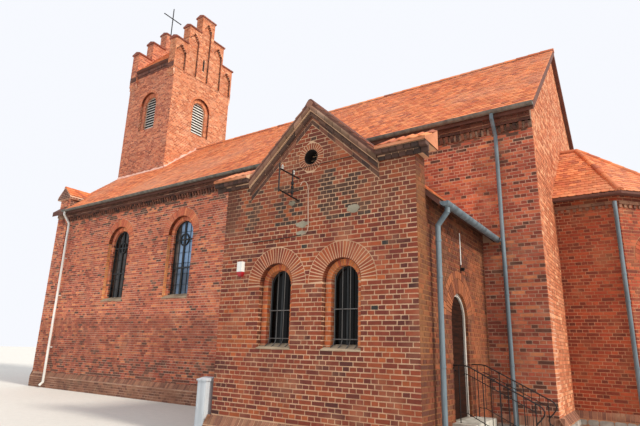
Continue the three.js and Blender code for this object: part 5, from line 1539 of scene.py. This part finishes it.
@dataclass
class Chancel(Assembly):
    """The low chancel and apse east of the nave."""

    bond: Bond = Bond()
    window: Opening = Opening(0.4, 2.3, 3.9, 0.11, 0.3, 0.23, 0.26, 19, 2.3)
    plinth: Plinth = Plinth()
    glazed: tuple = (1, 3)
    wall_top: float = 5.4
    eave_out: float = 0.26
    roof_depth: float = 0.18

    def lay(self) -> None:
        """Lay and dress the chancel."""
        self.walls()
        self.foot()
        self.windows()
        self.roof()
        CHANCEL_MORTAR.dress("chancel_south_wall", "chancel_north_wall", "apse_south_east_wall",
                             "apse_east_wall", "apse_north_east_wall")
        CORNICE_BRICK.dress("chancel_roof")
        NAVE_GLASS.dress("apse_south_east_window", "apse_north_east_window")

    @property
    def centre(self) -> float:
        """X of the middle of the apse."""
        return PLAN.chancel_corner - PLAN.chancel_half * math.tan(math.pi / 8)

    def corners(self, half: float) -> list:
        """List the plan's corners at a half width, from the south-west round to the north-west."""
        corner, axis, centre = half * math.tan(math.pi / 8), PLAN.axis, self.centre
        south = [(PLAN.length, -half), (centre + corner, -half), (centre + half, -corner)]
        return [(x, axis + y) for x, y in south] + [(x, axis - y) for x, y in reversed(south)]

    def sides(self, half: float) -> list:
        """List each side as a face with its length."""
        corners, sides = self.corners(half), []
        for a, b in zip(corners[:-1], corners[1:]):
            sides.append((Face((*a, 0), (b[1] - a[1], a[0] - b[0], 0.0)), math.dist(a, b)))
        return sides

    def walls(self) -> None:
        """Lay the bricks, the cornice and the plinth's sloped course."""
        bricks = self.piece("chancel_bricks", 91, CHANCEL_BRICK)
        cornice = self.piece("chancel_plinth_bricks", 92, PLINTH_BRICK)
        for index, (face, size) in enumerate(self.sides(PLAN.chancel_half)):
            glazed = index in self.glazed
            self.bond.lay(bricks, face, sheet(0, self.plinth.top, size, self.wall_top - 0.02),
                          [self.window.hole(size / 2)] if glazed else [])
            cornice.row(face, (0, size), (5.06, 5.13), 0.13, 0.0, (-0.035, 0.0), 0.5)
            cornice.row(face, (0, size), (5.14, 5.21), 0.26, 0.01, (-0.045, 0.0))
            if glazed:
                self.window.lay(bricks, face, size / 2, self.bond)
        for face, size in self.sides(PLAN.chancel_half + self.plinth.out):
            self.plinth.slope(cornice, face, 0, size)

    def windows(self) -> None:
        """Build the bars and the sills of the apse windows."""
        bars = self.piece("apse_window_bars", 94, WINDOW_METAL, smooth=True)
        sills = self.piece("apse_window_sills", 95, CEMENT)
        half, sill, spring = self.window.inner_half, self.window.sill, self.window.springing
        lines = [((u, sill), (u, spring + chord(half, u) - 0.01), 0.018)
                 for u in (0.02 - half, 0.0, half - 0.02)]
        lines += [((-half, v), (half, v), 0.012) for v in (2.75, 3.25, 3.75)]
        for face, size in (self.sides(PLAN.chancel_half)[index] for index in self.glazed):
            self.window.lay_sill(sills, face, size / 2, 0.03)
            for a, b, radius in lines:
                u, v = np.array([a, b]).T
                bars.tube(face.at(size / 2 + u, v, 0.205) - SHIFT, radius, 6)

    def foot(self) -> None:
        """Lay rough fieldstones over the plinth's foot, also of the nave beside it."""
        blocks, rows, soft = self.piece("chancel_fieldstones", 93, FIELDSTONE), (0.0, 0.14, 0.27, 0.4), 0.03
        out, length = self.plinth.out, PLAN.length + self.plinth.out
        for face, start, end in (*((face, 0.0, size) for face, size in self.sides(PLAN.chancel_half + out)),
                                 (EAST.face(length), -out, 1.93), (SOUTH.face(-out), 18.02, length)):
            for low, high in zip(rows[:-1], rows[1:]):
                cursor = start
                while cursor < end - 0.02:
                    size = min(float(blocks.rng.uniform(0.16, 0.36)), end - cursor)
                    jig = blocks.rng.uniform(0, 0.015, 3)
                    u0, u1 = cursor + 0.008, cursor + size - 0.008
                    blocks.on_face(face, [[
                        (u0 + soft, low + 0.006), (u1 - soft, low + 0.006 + jig[0]), (u1, low + soft),
                        (u1, high - soft), (u1 - soft, high - 0.006 - jig[1]), (u0 + soft, high - 0.006),
                        (u0, high - soft), (u0, low + soft)]], -0.012 - jig[2], 0.02)
                    cursor += size

    def roof(self) -> None:
        """Lay the tiles of the chancel roof and its hips."""
        pitch, half, foot = PLAN.pitch, PLAN.chancel_half + self.eave_out, 0.035
        top, corners = self.wall_top + self.roof_depth, self.corners(half)
        eave, peak = top - pitch * self.eave_out, (self.centre, PLAN.axis, top + pitch * PLAN.chancel_half)
        length, flat = half / slant(pitch), self.centre - PLAN.length
        tiles = self.piece("chancel_roof_tiles", 96, ROOF_TILE)
        for index, ((face, size), corner) in enumerate(zip(self.sides(half), corners)):
            heads = {0: [(flat, length), (0, length)], 4: [(size, length), (size - flat, length)]}
            TileLaying().lay(tiles, roof_slope((*corner, eave), face.normal, pitch),
                             [(0, foot), (size, foot), *heads.get(index, [(size / 2, length)])])
        tiles.ridge((PLAN.length + 0.01, *peak[1:]), peak, 0.1)
        for corner in corners[1:5]:
            start = np.array([*corner, eave])
            tiles.ridge(start + 0.08 * unit(peak - start), peak, 0.09, drop=0.02)


@dataclass
class Annex(Assembly):
    """The annex: its gable front, side walls, plinth, roof and windows, and the side door's arch."""

    bond: Bond = Bond(0.081, 0.262, 0.018, 0.007, 0.12, 0.0018)
    upper_bond: Bond = Bond(0.081, 0.262, 0.018, 0.007, 0.65, 0.0018)
    window: Opening = Opening(0.39, 1.7, 2.865, 0.12, 0.275, 0.25, 0.285, 31, 1.74, 0.019, 0.004)
    plinth: Plinth = Plinth(0.3, 0.46)
    window_off: float = 0.715
    shoulder_in: float = 1.455
    shoulder_top: float = 5.0
    change_row: int = 48
    flank_top: float = 4.28
    oculus: float = 5.25
    vent: float = 0.142
    vent_bare: float = 0.294
    door_mid: float = -1.81
    door_half: float = 0.45
    door_springing: float = 2.33
    threshold: float = 0.6

    def lay(self) -> None:
        """Lay and dress the annex."""
        self.front()
        self.patches()
        self.flanks()
        self.plinths()
        self.barge()
        self.verge()
        self.caps()
        self.windows()
        self.roof()
        ANNEX_MORTAR.dress("annex_front_wall", "annex_west_wall")
        SHADED_SIDE_MORTAR.dress("annex_side_wall_near", "annex_side_wall_far", "annex_side_wall_over_door")
        CORNICE_BRICK.dress("annex_roof_west", "annex_roof_east")
        ANNEX_GLASS.dress("annex_window_west", "annex_window_east")
        PIPE_ZINC.dress("annex_gutter_west", "annex_gutter_east")
        STEP_STONE.dress("annex_door_steps")
        FRAME_PAINT.dress("annex_door_frame")

    @property
    def face(self) -> Face:
        """The front wall's face."""
        return SOUTH.face(PLAN.annex_front)

    def under(self, x: float, drop: float = 0.0) -> float:
        """Height at x, a drop under the roof's underside."""
        return PLAN.annex_top(x) - 0.11 - drop

    def tone(self, u: np.ndarray, size: np.ndarray, v: float, rng: np.random.Generator) -> np.ndarray:
        """Pick brick tones in soft clusters, with burnt headers in two toothed columns and dark bricks along
        the upper west edge as painted shade.

        Args:
            u: Places along the front.
            size: Lengths of the bricks.
            v: Height of the row.
            rng: Random numbers.

        Returns:
            First tint numbers.
        """
        tone = np.clip(0.6 * rng.random(len(u)) + 0.38 * drift(u, v), 0, 0.94)
        # Dark bricks in a ragged line along the upper west edge: painted shade at the corner.
        edge = (u < 13.95 + 0.3 * rng.random(len(u))) & (v > 3.85)
        tone = np.where(edge, 0.25 * rng.random(len(u)), tone)
        burnt = rng.random(len(u)) < 0.012
        for west, east, low, high, share in (
                (14.235, 14.635, 3.93, 4.85, 0.92), (15.99, 16.39, 3.93, 4.93, 0.92),
                (16.5, 17.05, 4.0, 4.75, 0.65), (14.95, 15.6, 4.0, 4.75, 0.65)):
            if low < v < high:
                odds = np.where(size < 0.17, share, 0.5 * share)
                burnt |= (u > west) & (u < east) & (rng.random(len(u)) < odds)
        return np.where(burnt, 0.97, tone)

    def front(self) -> None:
        """Lay the bricks of the gable front, its rakes and its round vent."""
        west, east, mid, top = PLAN.annex_west, PLAN.annex_east, PLAN.annex_mid, self.shoulder_top
        right, left = mid + self.shoulder_in, mid - self.shoulder_in
        change, drop = self.change_row * self.bond.course, 0.345
        above = [(west, change), (east, change), (east, top), (right, top), (right, self.under(right, drop)),
                 (mid, self.under(mid, drop)), (left, self.under(left, drop)), (left, top), (west, top)]
        centres = [mid - self.window_off, mid + self.window_off]
        bricks = self.piece("annex_front_bricks", 101, ANNEX_BRICK)
        reveal = self.piece("annex_window_reveals", 102, ANNEX_REVEAL)
        shaded = self.piece("annex_window_jambs", 106, SHADED_REVEAL)
        raking = self.piece("annex_raking_bricks", 103, RAKE_BRICK)
        vent = self.piece("annex_round_vent_shade", 104, HOLE_SHADE_BRICK)
        holes = [self.window.hole(c) for c in centres] + [circle(mid, self.oculus, self.vent_bare)]
        self.bond.lay(bricks, self.face, sheet(west, self.plinth.top, east, change), holes, self.tone)
        self.upper_bond.lay(bricks, self.face, above, holes, self.tone)
        for centre in centres:
            self.window.lay(bricks, self.face, centre, self.bond, reveal, shaded, shaded)
        Ring(0.152, 0.28, 28, 0.016, 0.004).lay(bricks, self.face, mid, self.oculus, 0.02, (0.0, TURN))
        count = int(round(math.hypot(self.shoulder_in, self.shoulder_in * PLAN.annex_pitch) / 0.26))
        for side in (-1, 1):
            xs = mid + side * np.linspace(0, self.shoulder_in, count + 1)
            for upper, lower, out in ((0.237, 0.325, -0.01), (0.1, 0.215, -0.012)):
                pairs = [sorted((a + 0.006 * side, b - 0.006 * side)) for a, b in zip(xs[:-1], xs[1:])]
                quads = np.array([[(a, self.under(a, lower)), (b, self.under(b, lower)),
                                   (b, self.under(b, upper)), (a, self.under(a, upper))] for a, b in pairs])
                raking.on_face(self.face, quads + raking.rng.normal(0, 0.0015, quads.shape), out, 0.0)
        # Near-black back and lining of the round vent: painted shade in the hole.
        self.bond.lay(vent, self.face.deeper(0.2), circle(mid, self.oculus, self.vent))
        Ring(0.143, 0.151, 28, 0.0).lay(vent, self.face, mid, self.oculus, 0.2, (0.0, TURN))

    def patches(self) -> None:
        """Lay the cement patches of the front."""
        cement, turn = self.piece("annex_cement_patches", 105, PATCH_CEMENT), np.linspace(0, TURN, 15)[:-1]
        for x, z, wide, tall in ((15.66, 3.94, 0.16, 0.07), (15.64, 3.765, 0.13, 0.05),
                                 (16.74, 4.1, 0.15, 0.08), (15.4, 4.38, 0.09, 0.05)):
            reach = cement.rng.uniform(0.65, 1.15, len(turn))
            uv = np.stack([x + wide * reach * np.cos(turn), z + tall * reach * np.sin(turn)], 1)
            cement.on_face(self.face, [uv], -0.012, 0.0)

    def barge(self) -> None:
        """Lay the two round-brick rolls under the gable's verge."""
        reach, front, turn = self.shoulder_in, PLAN.annex_front, np.linspace(-math.pi / 2, math.pi / 2, 7)
        count = int(round(reach / slant(PLAN.annex_pitch) / 0.25))
        for name, centre, radius, out, finish in (
                ("upper", -0.0073, 0.056, 0.075, ROLL_BRICK), ("lower", 0.084, 0.046, 0.03, DARK_ROLL)):
            rolls = self.piece(f"annex_{name}_roll", 111, finish, smooth=True)
            for side in (-1, 1):
                for i in range(count):
                    rings = []
                    for k in (i + 0.025, i + 0.975)[::side]:
                        x = PLAN.annex_mid + side * reach * k / count
                        z, tall = self.under(x, centre / slant(PLAN.annex_pitch)), radius * 1.25
                        rings += [(x, front - out - radius * math.cos(t), z + tall * math.sin(t))
                                  for t in turn]
                        rings += [(x, front + 0.01, z + tall), (x, front + 0.01, z - tall)]
                    rolls.add([SHIFT + rings])

    def verge(self) -> None:
        """Lay the verge tiles and the round end of the ridge."""
        verge, front = self.piece("annex_verge_tiles", 112, VERGE_TILE), PLAN.annex_front
        size = self.shoulder_in / slant(PLAN.annex_pitch)
        step = size / int(round(size / 0.21))
        for side in (WEST, EAST):
            foot = PLAN.annex_mid + side.sign * self.shoulder_in
            slope = roof_slope((foot, 0, PLAN.annex_top(foot)), side.value, PLAN.annex_pitch)
            for v in np.arange(0, size - 0.01, step):
                tile = side.draw(sheet(front - 0.108, v, front + 0.09, v + 1.15 * step))
                tilt = np.array([[-0.04 if spot == v else -0.018 for _, spot in tile]])
                verge.on_face(slope, [tile], tilt, tilt + 0.026)
        verge.tube([(PLAN.annex_mid, front - 0.13, 6.32), (PLAN.annex_mid, front + 0.05, 6.33)], 0.07, 14)

    def caps(self) -> None:
        """Lay the pantiles on the two shoulders and the dark corbels under them, their dark brick partly soot
        and partly painted shade under the slabs.
        """
        caps = self.piece("annex_shoulder_tiles", 113, ROOF_TILE, smooth=True)
        edges = self.piece("annex_shoulder_edges", 115, CAP_EDGE)
        corbels = self.piece("annex_shoulder_corbels", 114, SOOT_AND_SHADE_BRICK)
        mid, half = PLAN.annex_mid, (PLAN.annex_east - PLAN.annex_west) / 2 + 0.26
        front = PLAN.annex_front - 0.205
        turn = np.linspace(0, 1, 9)
        wave, back = 0.5 - 0.5 * np.cos(turn * TURN), -3.31
        for end in (WEST, EAST):
            x0, x1 = sorted((mid + end.sign * (self.shoulder_in + 0.002), mid + end.sign * half))
            step = (x1 - x0) / 5
            for first, last, low, high in ((front, -3.575, 5.078, 5.235), (-3.6, back, 5.245, 5.385)):
                for xs in (x0 + (i + turn) * step for i in range(5)):
                    loop = []
                    for y, z, hump in ((first, low, 0.016), (last, high, 0.038)):
                        loop += [(x, y, z + hump * w - 0.002) for x, w in zip(xs, wave)]
                        loop += [(x, y, z + 0.014 + hump * w) for x, w in zip(xs[::-1], wave[::-1])]
                    caps.add([SHIFT + loop])
            edges.box((x0, front - 0.003, 5.03), (x1, front + 0.02, 5.08))
            profile = [(front, 5.03), (back, 5.03), (back, 5.385), (-3.575, 5.235), (front, 5.078)]
            edges.on_face(end.face(mid + end.sign * (half + 0.001)), [end.draw(profile)], 0.0, 0.021)
            corbels.row(end.face(mid + end.sign * (half - 0.17)), end.ends(PLAN.annex_front - 0.07, back),
                        (4.935, 5.026), 0.13, 0.01, (-0.008, 0.02))
            # The first corbel row reaches far under the slab; its dark brick paints the shade there.
            corbels.row(self.face, (x0, x1), (4.955, 5.028), 0.13, 0.01, (-0.17, -0.02))
            corbels.row(self.face, (x0, x1), (4.87, 4.95), 0.13, 0.01, (-0.07, -0.02))

    def flanks(self) -> None:
        """Lay the bricks of the side walls, the door's arch and the dark joints of the front's corner; the
        east side's bricks and mortar are darkened as painted shade.
        """
        low, front, east = self.plinth.top, PLAN.annex_front, PLAN.annex_east
        top, cap = self.flank_top, self.shoulder_top
        mid, half, spring = self.door_mid, self.door_half, self.door_springing
        deep, face = 0.045, EAST.face(east)
        wall = [(front, low), (0, low), (0, top), (front + 0.38, top), (front + 0.38, cap), (front, cap)]
        rings = self.piece("annex_door_arch", 125, DOOR_ARCH)
        self.bond.cover(self.piece("annex_west_bricks", 121, ANNEX_BRICK), WEST, PLAN.annex_west, wall)
        # The east side's darkened brick paints the trees' shade, and a painted sunlit patch lies right of the
        # door.
        seen = self.piece("annex_east_bricks", 122, SHADED_SIDE_BRICK)
        self.bond.lay(seen, face, wall, [arch(mid, half, self.threshold, spring, 0.412),
                                         sheet(mid - half, -1, mid + half, self.threshold)])
        Ring(half - 0.004, half + 0.26, 25, 0.015).lay(rings, face, mid, spring, deep)
        Ring(half + 0.272, half + 0.4, 21, 0.015).lay(rings, face, mid, spring, 0.004)
        for sign in (-1, 1):
            self.bond.lay(seen, face.jamb(mid + sign * half, sign < 0, 0.0, deep),
                          sheet(0, self.threshold, deep, spring))
        # Joints at the corner in the east side's darkened mortar: painted shade.
        self.piece("annex_corner_pointing", 124, SHADED_SIDE_MORTAR).box(
            (east - 0.01, front + 0.004, low), (east + 0.002, front + 0.39, cap))

    def plinths(self) -> None:
        """Lay the annex plinth."""
        out = self.plinth.out
        west, east, front = PLAN.annex_west - out, PLAN.annex_east + out, PLAN.annex_front - out
        self.plinth.lay(self.piece("annex_plinth_bricks", 123, PLINTH_BRICK), self.bond, (
            (SOUTH, front, west, east), (WEST, west, front, -0.1), (EAST, east, front, -2.42),
            (EAST, east, -1.18, -0.1)))

    def windows(self) -> None:
        """Build the grilles, sashes and cement sills of the annex windows."""
        spring, y = self.window.springing, PLAN.annex_front + 0.185
        for side in (WEST, EAST):
            centre = PLAN.annex_mid + side.sign * self.window_off
            grille = self.piece(f"annex_{side.name.lower()}_grille", 132, GRILLE_IRON, smooth=True)
            sash = self.piece(f"annex_{side.name.lower()}_sash", 134, WINDOW_METAL, smooth=True)
            for x in np.linspace(-0.235, 0.235, 4):
                points = ((-0.13, 1.73), (-0.03, 1.79), (0, 1.86),
                          (0, spring + chord(self.window.inner_half, x) + 0.02))
                grille.tube([(centre + x, y + out, z) for out, z in points], 0.008)
            for v in (1.88, 2.385):
                grille.tube([(centre - 0.27, y - 0.009, v), (centre + 0.27, y - 0.009, v)], 0.009)
            sash.tube(self.window.rim(0.02, centre, y + 0.055, 1.76, 15), 0.02, 6)
            sash.box((centre - 0.02, y + 0.04, 1.76), (centre + 0.02, y + 0.07, spring + 0.255))
        sills = self.piece("annex_window_sills", 131, PALE_CEMENT)
        for side in (WEST, EAST):
            self.window.lay_sill(sills, self.face, PLAN.annex_mid + side.sign * self.window_off, 0.015)

    def roof(self) -> None:
        """Lay the annex roof tiles and ridge."""
        tiles, mid, front = self.piece("annex_roof_tiles", 141, ROOF_TILE), PLAN.annex_mid, PLAN.annex_front
        half, cos = (PLAN.annex_east - PLAN.annex_west) / 2 + 0.25, slant(PLAN.annex_pitch)
        length, notch, verge, back = half / cos, (half - self.shoulder_in) / cos, front - 0.09, front + 0.385
        outline = [(back, 0), (-0.01, 0), (-0.01, length), (verge, length), (verge, notch), (back, notch)]
        for side in (WEST, EAST):
            eave = (mid + side.sign * half, 0, PLAN.annex_top(mid + half))
            TileLaying().lay(tiles, roof_slope(eave, side.value, PLAN.annex_pitch), side.draw(outline))
        tiles.ridge((mid, front + 0.03, PLAN.annex_apex), (mid, -0.02, PLAN.annex_apex), 0.085, drop=0.055)


@dataclass
class Fittings(Assembly):
    """The small things on the annex walls: bracket, conduits, alarm box, cabinet and lamp."""

    y: float = PLAN.annex_front
    x: float = PLAN.annex_east

    def lay(self) -> None:
        """Lay the fittings."""
        self.bracket()
        self.conduits()
        self.boxes()
        self.lamp()

    def bracket(self) -> None:
        """Build the iron bracket with its two glazed insulators."""
        bracket = self.piece("bracket_bars", 151, IRON, replaces=("insulator_bracket",), smooth=True)
        pots = self.piece("bracket_insulators", 152, CERAMIC, smooth=True)
        bars = [((0.01, foot), (-0.6, tip), 0.015, 8) for foot, tip in ((4.418, 4.47), (4.858, 4.875))]
        bars += [((out, 4.43), (out, 4.97), 0.014, 8) for out in (-0.6, -0.2)]
        bars += [((0, 4.62), (-0.37, 4.46), 0.009, 6)]
        bars += [((-0.2, z), (-0.2, z + 0.05), 0.03, 10) for z in (4.5, 4.6, 4.68)]
        beads = [((out, z), (out, z + 0.025), radius, 12) for out in (-0.52, -0.18)
                 for z, radius in ((4.885, 0.024), (4.908, 0.015), (4.925, 0.024), (4.948, 0.014))]
        for blocks, lines in ((bracket, bars), (pots, beads)):
            for *ends, radius, sides in lines:
                blocks.tube([(15.535, self.y + out, z) for out, z in ends], radius, sides)

    def conduits(self) -> None:
        """Build the pale conduits and the dark cables on the front."""
        conduit = self.piece("annex_conduit", 153, CONDUIT, smooth=True)
        cable, y, flat = self.piece("annex_cables", 158, IRON, smooth=True), self.y, self.y - 0.022
        runs = ((conduit, 0.009, 8, ((15.755, 4.7), (15.778, 4.593), (15.79, 4.2), (15.806, 3.88),
                                     (15.79, 3.8), (15.747, 3.754), (15.66, 3.735))),
                (conduit, 0.007, 8, ((14.47, 3.7), (14.1, 3.705), (13.816, 3.724))),
                (cable, 0.008, 6, ((15.66, 3.735), (15.5, 3.72), (15.0, 3.705), (14.47, 3.7))),
                (cable, 0.006, 6, ((15.39, 5.04), (15.9, 5.06), (16.755, 5.08))))
        for blocks, radius, sides, path in runs:
            blocks.tube([(x, flat, z) for x, z in path], radius, sides)
        conduit.tube([(15.64, y - 0.09, 4.68), (15.66, y - 0.06, 4.75), (15.704, y - 0.03, 4.765),
                      (15.755, flat, 4.7)], 0.009)

    def boxes(self) -> None:
        """Build the alarm box with its red beacon, and the cabinet's door."""
        alarm = self.piece("alarm_box_cover", 154, WHITE_PAINT, replaces=("alarm_box",))
        beacon = self.piece("alarm_box_beacon", 155, RED_PAINT)
        door = self.piece("cabinet_door", 156, CABINET_PAINT)
        for blocks, half, out, gap, low, high in (
                (alarm, 0.069, 0.082, 0.002, 3.13, 3.33), (alarm, 0.062, 0.089, 0.08, 3.137, 3.323),
                (beacon, 0.065, 0.08, 0.002, 3.09, 3.13), (beacon, 0.053, 0.074, 0.004, 3.06, 3.09),
                (beacon, 0.037, 0.066, 0.008, 3.042, 3.06)):
            blocks.box((14.225 - half, self.y - out, low), (14.225 + half, self.y - gap, high))
        (x0, y0, _), (x1, _, _) = (np.array(corner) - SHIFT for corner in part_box("meter_cabinet"))
        door.box((x0 + 0.04, y0 + 0.012, 0.12), (x1 - 0.04, y0 + 0.03, 1.03))
        door.box((x0 + 0.06, y0 + 0.006, 0.55), (x0 + 0.075, y0 + 0.014, 0.64))
        CABINET_PAINT.dress("meter_cabinet")

    def lamp(self) -> None:
        """Build the lamp over the side door and its conduit."""
        lamp, x, y = self.piece("door_lamp_body", 159, IRON, replaces=("door_lamp",)), self.x, -1.64
        lamp.tube([(x + 0.008, y, 3.24), (x + 0.04, y, 3.25), (x + 0.075, y, 3.235)], 0.035, 12)
        lamp.box((x + 0.001, y - 0.025, 3.2), (x + 0.012, y + 0.025, 3.33))
        wire = self.piece("lamp_conduit", 157, WHITE_PAINT, smooth=True)
        wire.tube([(x + 0.016, y, 3.33), (x + 0.016, y, 3.95)], 0.009)


@dataclass
class Doorway(Assembly):
    """The hinged side door's leaf, its furniture, the railings of its steps and the pipes' collars."""

    mid: float = -1.81
    half: float = 0.408
    springing: float = 2.33
    face_x: float = 17.84
    foot: float = 0.61
    rail_start: float = 17.925
    rail_bend: float = 18.14
    rail_end: float = 19.25
    rail_top: float = 1.51
    rail_drop: float = 0.54

    def lay(self) -> None:
        """Lay the leaf, the railings and the collars."""
        self.leaf()
        self.railings()
        clips = self.piece("downpipe_collars", 163, PIPE_ZINC, smooth=True)
        for x, y in ((18.39, -0.15), (20.44, 1.88), (18.07, -3.16)):
            for z in (1.5, 2.9, 3.5):
                clips.tube([(x, y, z - 0.02), (x, y, z + 0.02)], 0.051, 12)

    def leaf(self) -> None:
        """Build the leaf's horizontal boards and its handle."""
        DOOR_TIMBER.dress("annex_door")
        boards = self.piece("door_boards", 161, DOOR_TIMBER, body=LEAF)
        handle = self.piece("door_handle", 162, IRON, body=LEAF)
        edges, mid, gap = np.arange(self.foot + 0.005, self.springing + self.half, 0.098), self.mid, 0.003
        tilt = np.array([[-0.004, -0.004, -0.001, -0.001]])
        for low, high in zip(edges[:-1], edges[1:]):
            foot, head = (chord(self.half, max(v - self.springing, 0.0)) for v in (low, high))
            boards.on_face(EAST.face(self.face_x), [[(mid - foot, low + gap), (mid + foot, low + gap),
                                                     (mid + head, high - gap), (mid - head, high - gap)]],
                           tilt, tilt + 0.006)
        x, y = self.face_x, mid + self.half - 0.07
        handle.box((x, y - 0.02, 1.52), (x + 0.004, y + 0.02, 1.74))
        handle.tube([(x, y, 1.68), (x + 0.004, y, 1.68), (x + 0.0045, y - 0.09, 1.68)], 0.0035)

    def height(self, x: float) -> float:
        """Height of the handrails at x."""
        slope = self.rail_drop / (self.rail_end - self.rail_bend)
        return self.rail_top - slope * max(x - self.rail_bend, 0.0)

    def railings(self) -> None:
        """Build the two wrought railings with their scrolls."""
        start, bend, end, top = self.rail_start, self.rail_bend, self.rail_end, self.rail_top
        under, low = 0.13, 0.75
        scroll = ((0.05, 0.035), (0.08, 0.09), (0.07, 0.14), (0.02, 0.21), (-0.04, 0.27), (-0.06, 0.32),
                  (-0.04, 0.38), (0.01, 0.4))
        hand = [(start, top), (bend - 0.04, top), (bend + 0.04, top - 0.01), (end, self.height(end)),
                *((end + x, self.height(end) - z) for x, z in scroll)]
        curl = [(start + x, top - z) for x, z in ((0.03, 0.0), (0.01, 0.05), (0.03, 0.09), (0.06, 0.08))]
        lines = [([(bend - 0.02, top - under), (bend + 0.04, top - under - 0.015),
                   (end - 0.02, self.height(end - 0.02) - under)], 0.007, 8),
                 ([(start + 0.1, top - low), (bend, top - low),
                   (end - 0.04, self.height(end - 0.04) - low)], 0.007, 8)]
        steps = ((18.3, 0.6), (18.62, 0.45), (18.94, 0.3), (19.26, 0.15))
        for i, x in enumerate(np.linspace(start + 0.1, end - 0.05, 10)):
            ground = next(z for edge, z in steps if x < edge)
            foot, radius = (self.height(x) - low, 0.0055) if i % 3 else (ground, 0.009)
            lines.append(([(x, foot), (x, self.height(x))], radius, 8))
        for name, y, more in (("near", -2.3, [(curl, 0.009, 6)]), ("far", -1.26, [])):
            rail = self.piece(f"railing_{name}", 164, IRON, replaces=(f"annex_railing_{name}",), smooth=True)
            rail.tube([(x, y, z) for x, z in hand], 0.011, flat=1.3)
            for line, radius, sides in more + lines:
                rail.tube([(x, y, z) for x, z in line], radius, sides)


@dataclass
class Studio:
    """The floor, the light and the camera."""

    focal_px: float = 494.36
    image_px: float = 640.0
    sensor: float = 36.0
    pitch: float = 15.341
    yaw: float = 34.135
    roll: float = 1.603
    eye: tuple = (20.931, -10.898, 1.718)
    floor_half: float = 140.0
    sky_tone: tuple = (0.93, 0.95, 1.0, 1.0)
    sun_power: float = 3.2
    sun_size: float = 8.0
    sun_tone: tuple = (1.0, 0.93, 0.82)
    sun_from: tuple = (0.8, -0.08, 0.6)

    def build(self) -> None:
        """Set up the studio."""
        self.floor()
        self.lights()
        self.camera()

    def floor(self) -> None:
        """Add the pale floor."""
        mesh, half = bpy.data.meshes.new("studio_floor"), self.floor_half
        mesh.from_pydata([(u, v, -0.002) for u, v in sheet(-half, -half, half, half)], [], [(0, 1, 2, 3)])
        mesh.materials.append(STUDIO_FLOOR.material())
        place("studio_floor", mesh)

    def lights(self) -> None:
        """Add the soft key light and the pale surroundings."""
        scene = bpy.context.scene
        scene.world = bpy.data.worlds.new("studio")
        scene.world.use_nodes = True
        back = scene.world.node_tree.nodes["Background"]
        back.inputs["Color"].default_value = self.sky_tone
        back.inputs["Strength"].default_value = 1.0
        data = bpy.data.lights.new("key", "SUN")
        data.energy, data.angle, data.color = self.sun_power, math.radians(self.sun_size), self.sun_tone
        place("key", data).rotation_euler = Vector(self.sun_from).to_track_quat("Z", "Y").to_euler()
        scene.view_settings.view_transform = "Standard"

    def camera(self) -> None:
        """Add the camera at the photograph's angle."""
        pitch, yaw, roll = (math.radians(v) for v in (self.pitch, self.yaw, self.roll))
        level, side = Vector((-math.sin(yaw), math.cos(yaw), 0)), Vector((math.cos(yaw), math.sin(yaw), 0))
        ahead = level * math.cos(pitch) + Vector((0, 0, math.sin(pitch)))
        up = Vector((0, 0, math.cos(pitch))) - level * math.sin(pitch)
        turn = Matrix((side * math.cos(roll) + up * math.sin(roll),
                       up * math.cos(roll) - side * math.sin(roll), -ahead)).transposed()
        data = bpy.data.cameras.new("camera")
        data.sensor_width, data.lens = self.sensor, self.focal_px / self.image_px * self.sensor
        data.clip_end = 400.0
        camera = place("camera", data)
        camera.matrix_world = Matrix.Translation(Vector(SHIFT + self.eye)) @ turn.to_4x4()
        bpy.context.scene.camera = camera


def main() -> None:
    """Build every sub-assembly in order."""
    logging.basicConfig(level=logging.INFO, format="%(message)s")
    for part in (Studio(), Nave(), Tower(), Chancel(), Annex(), Fittings(), Doorway()):
        LOG.info("building %s", type(part).__name__)
        part.build()


if __name__ == "__main__":
    main()
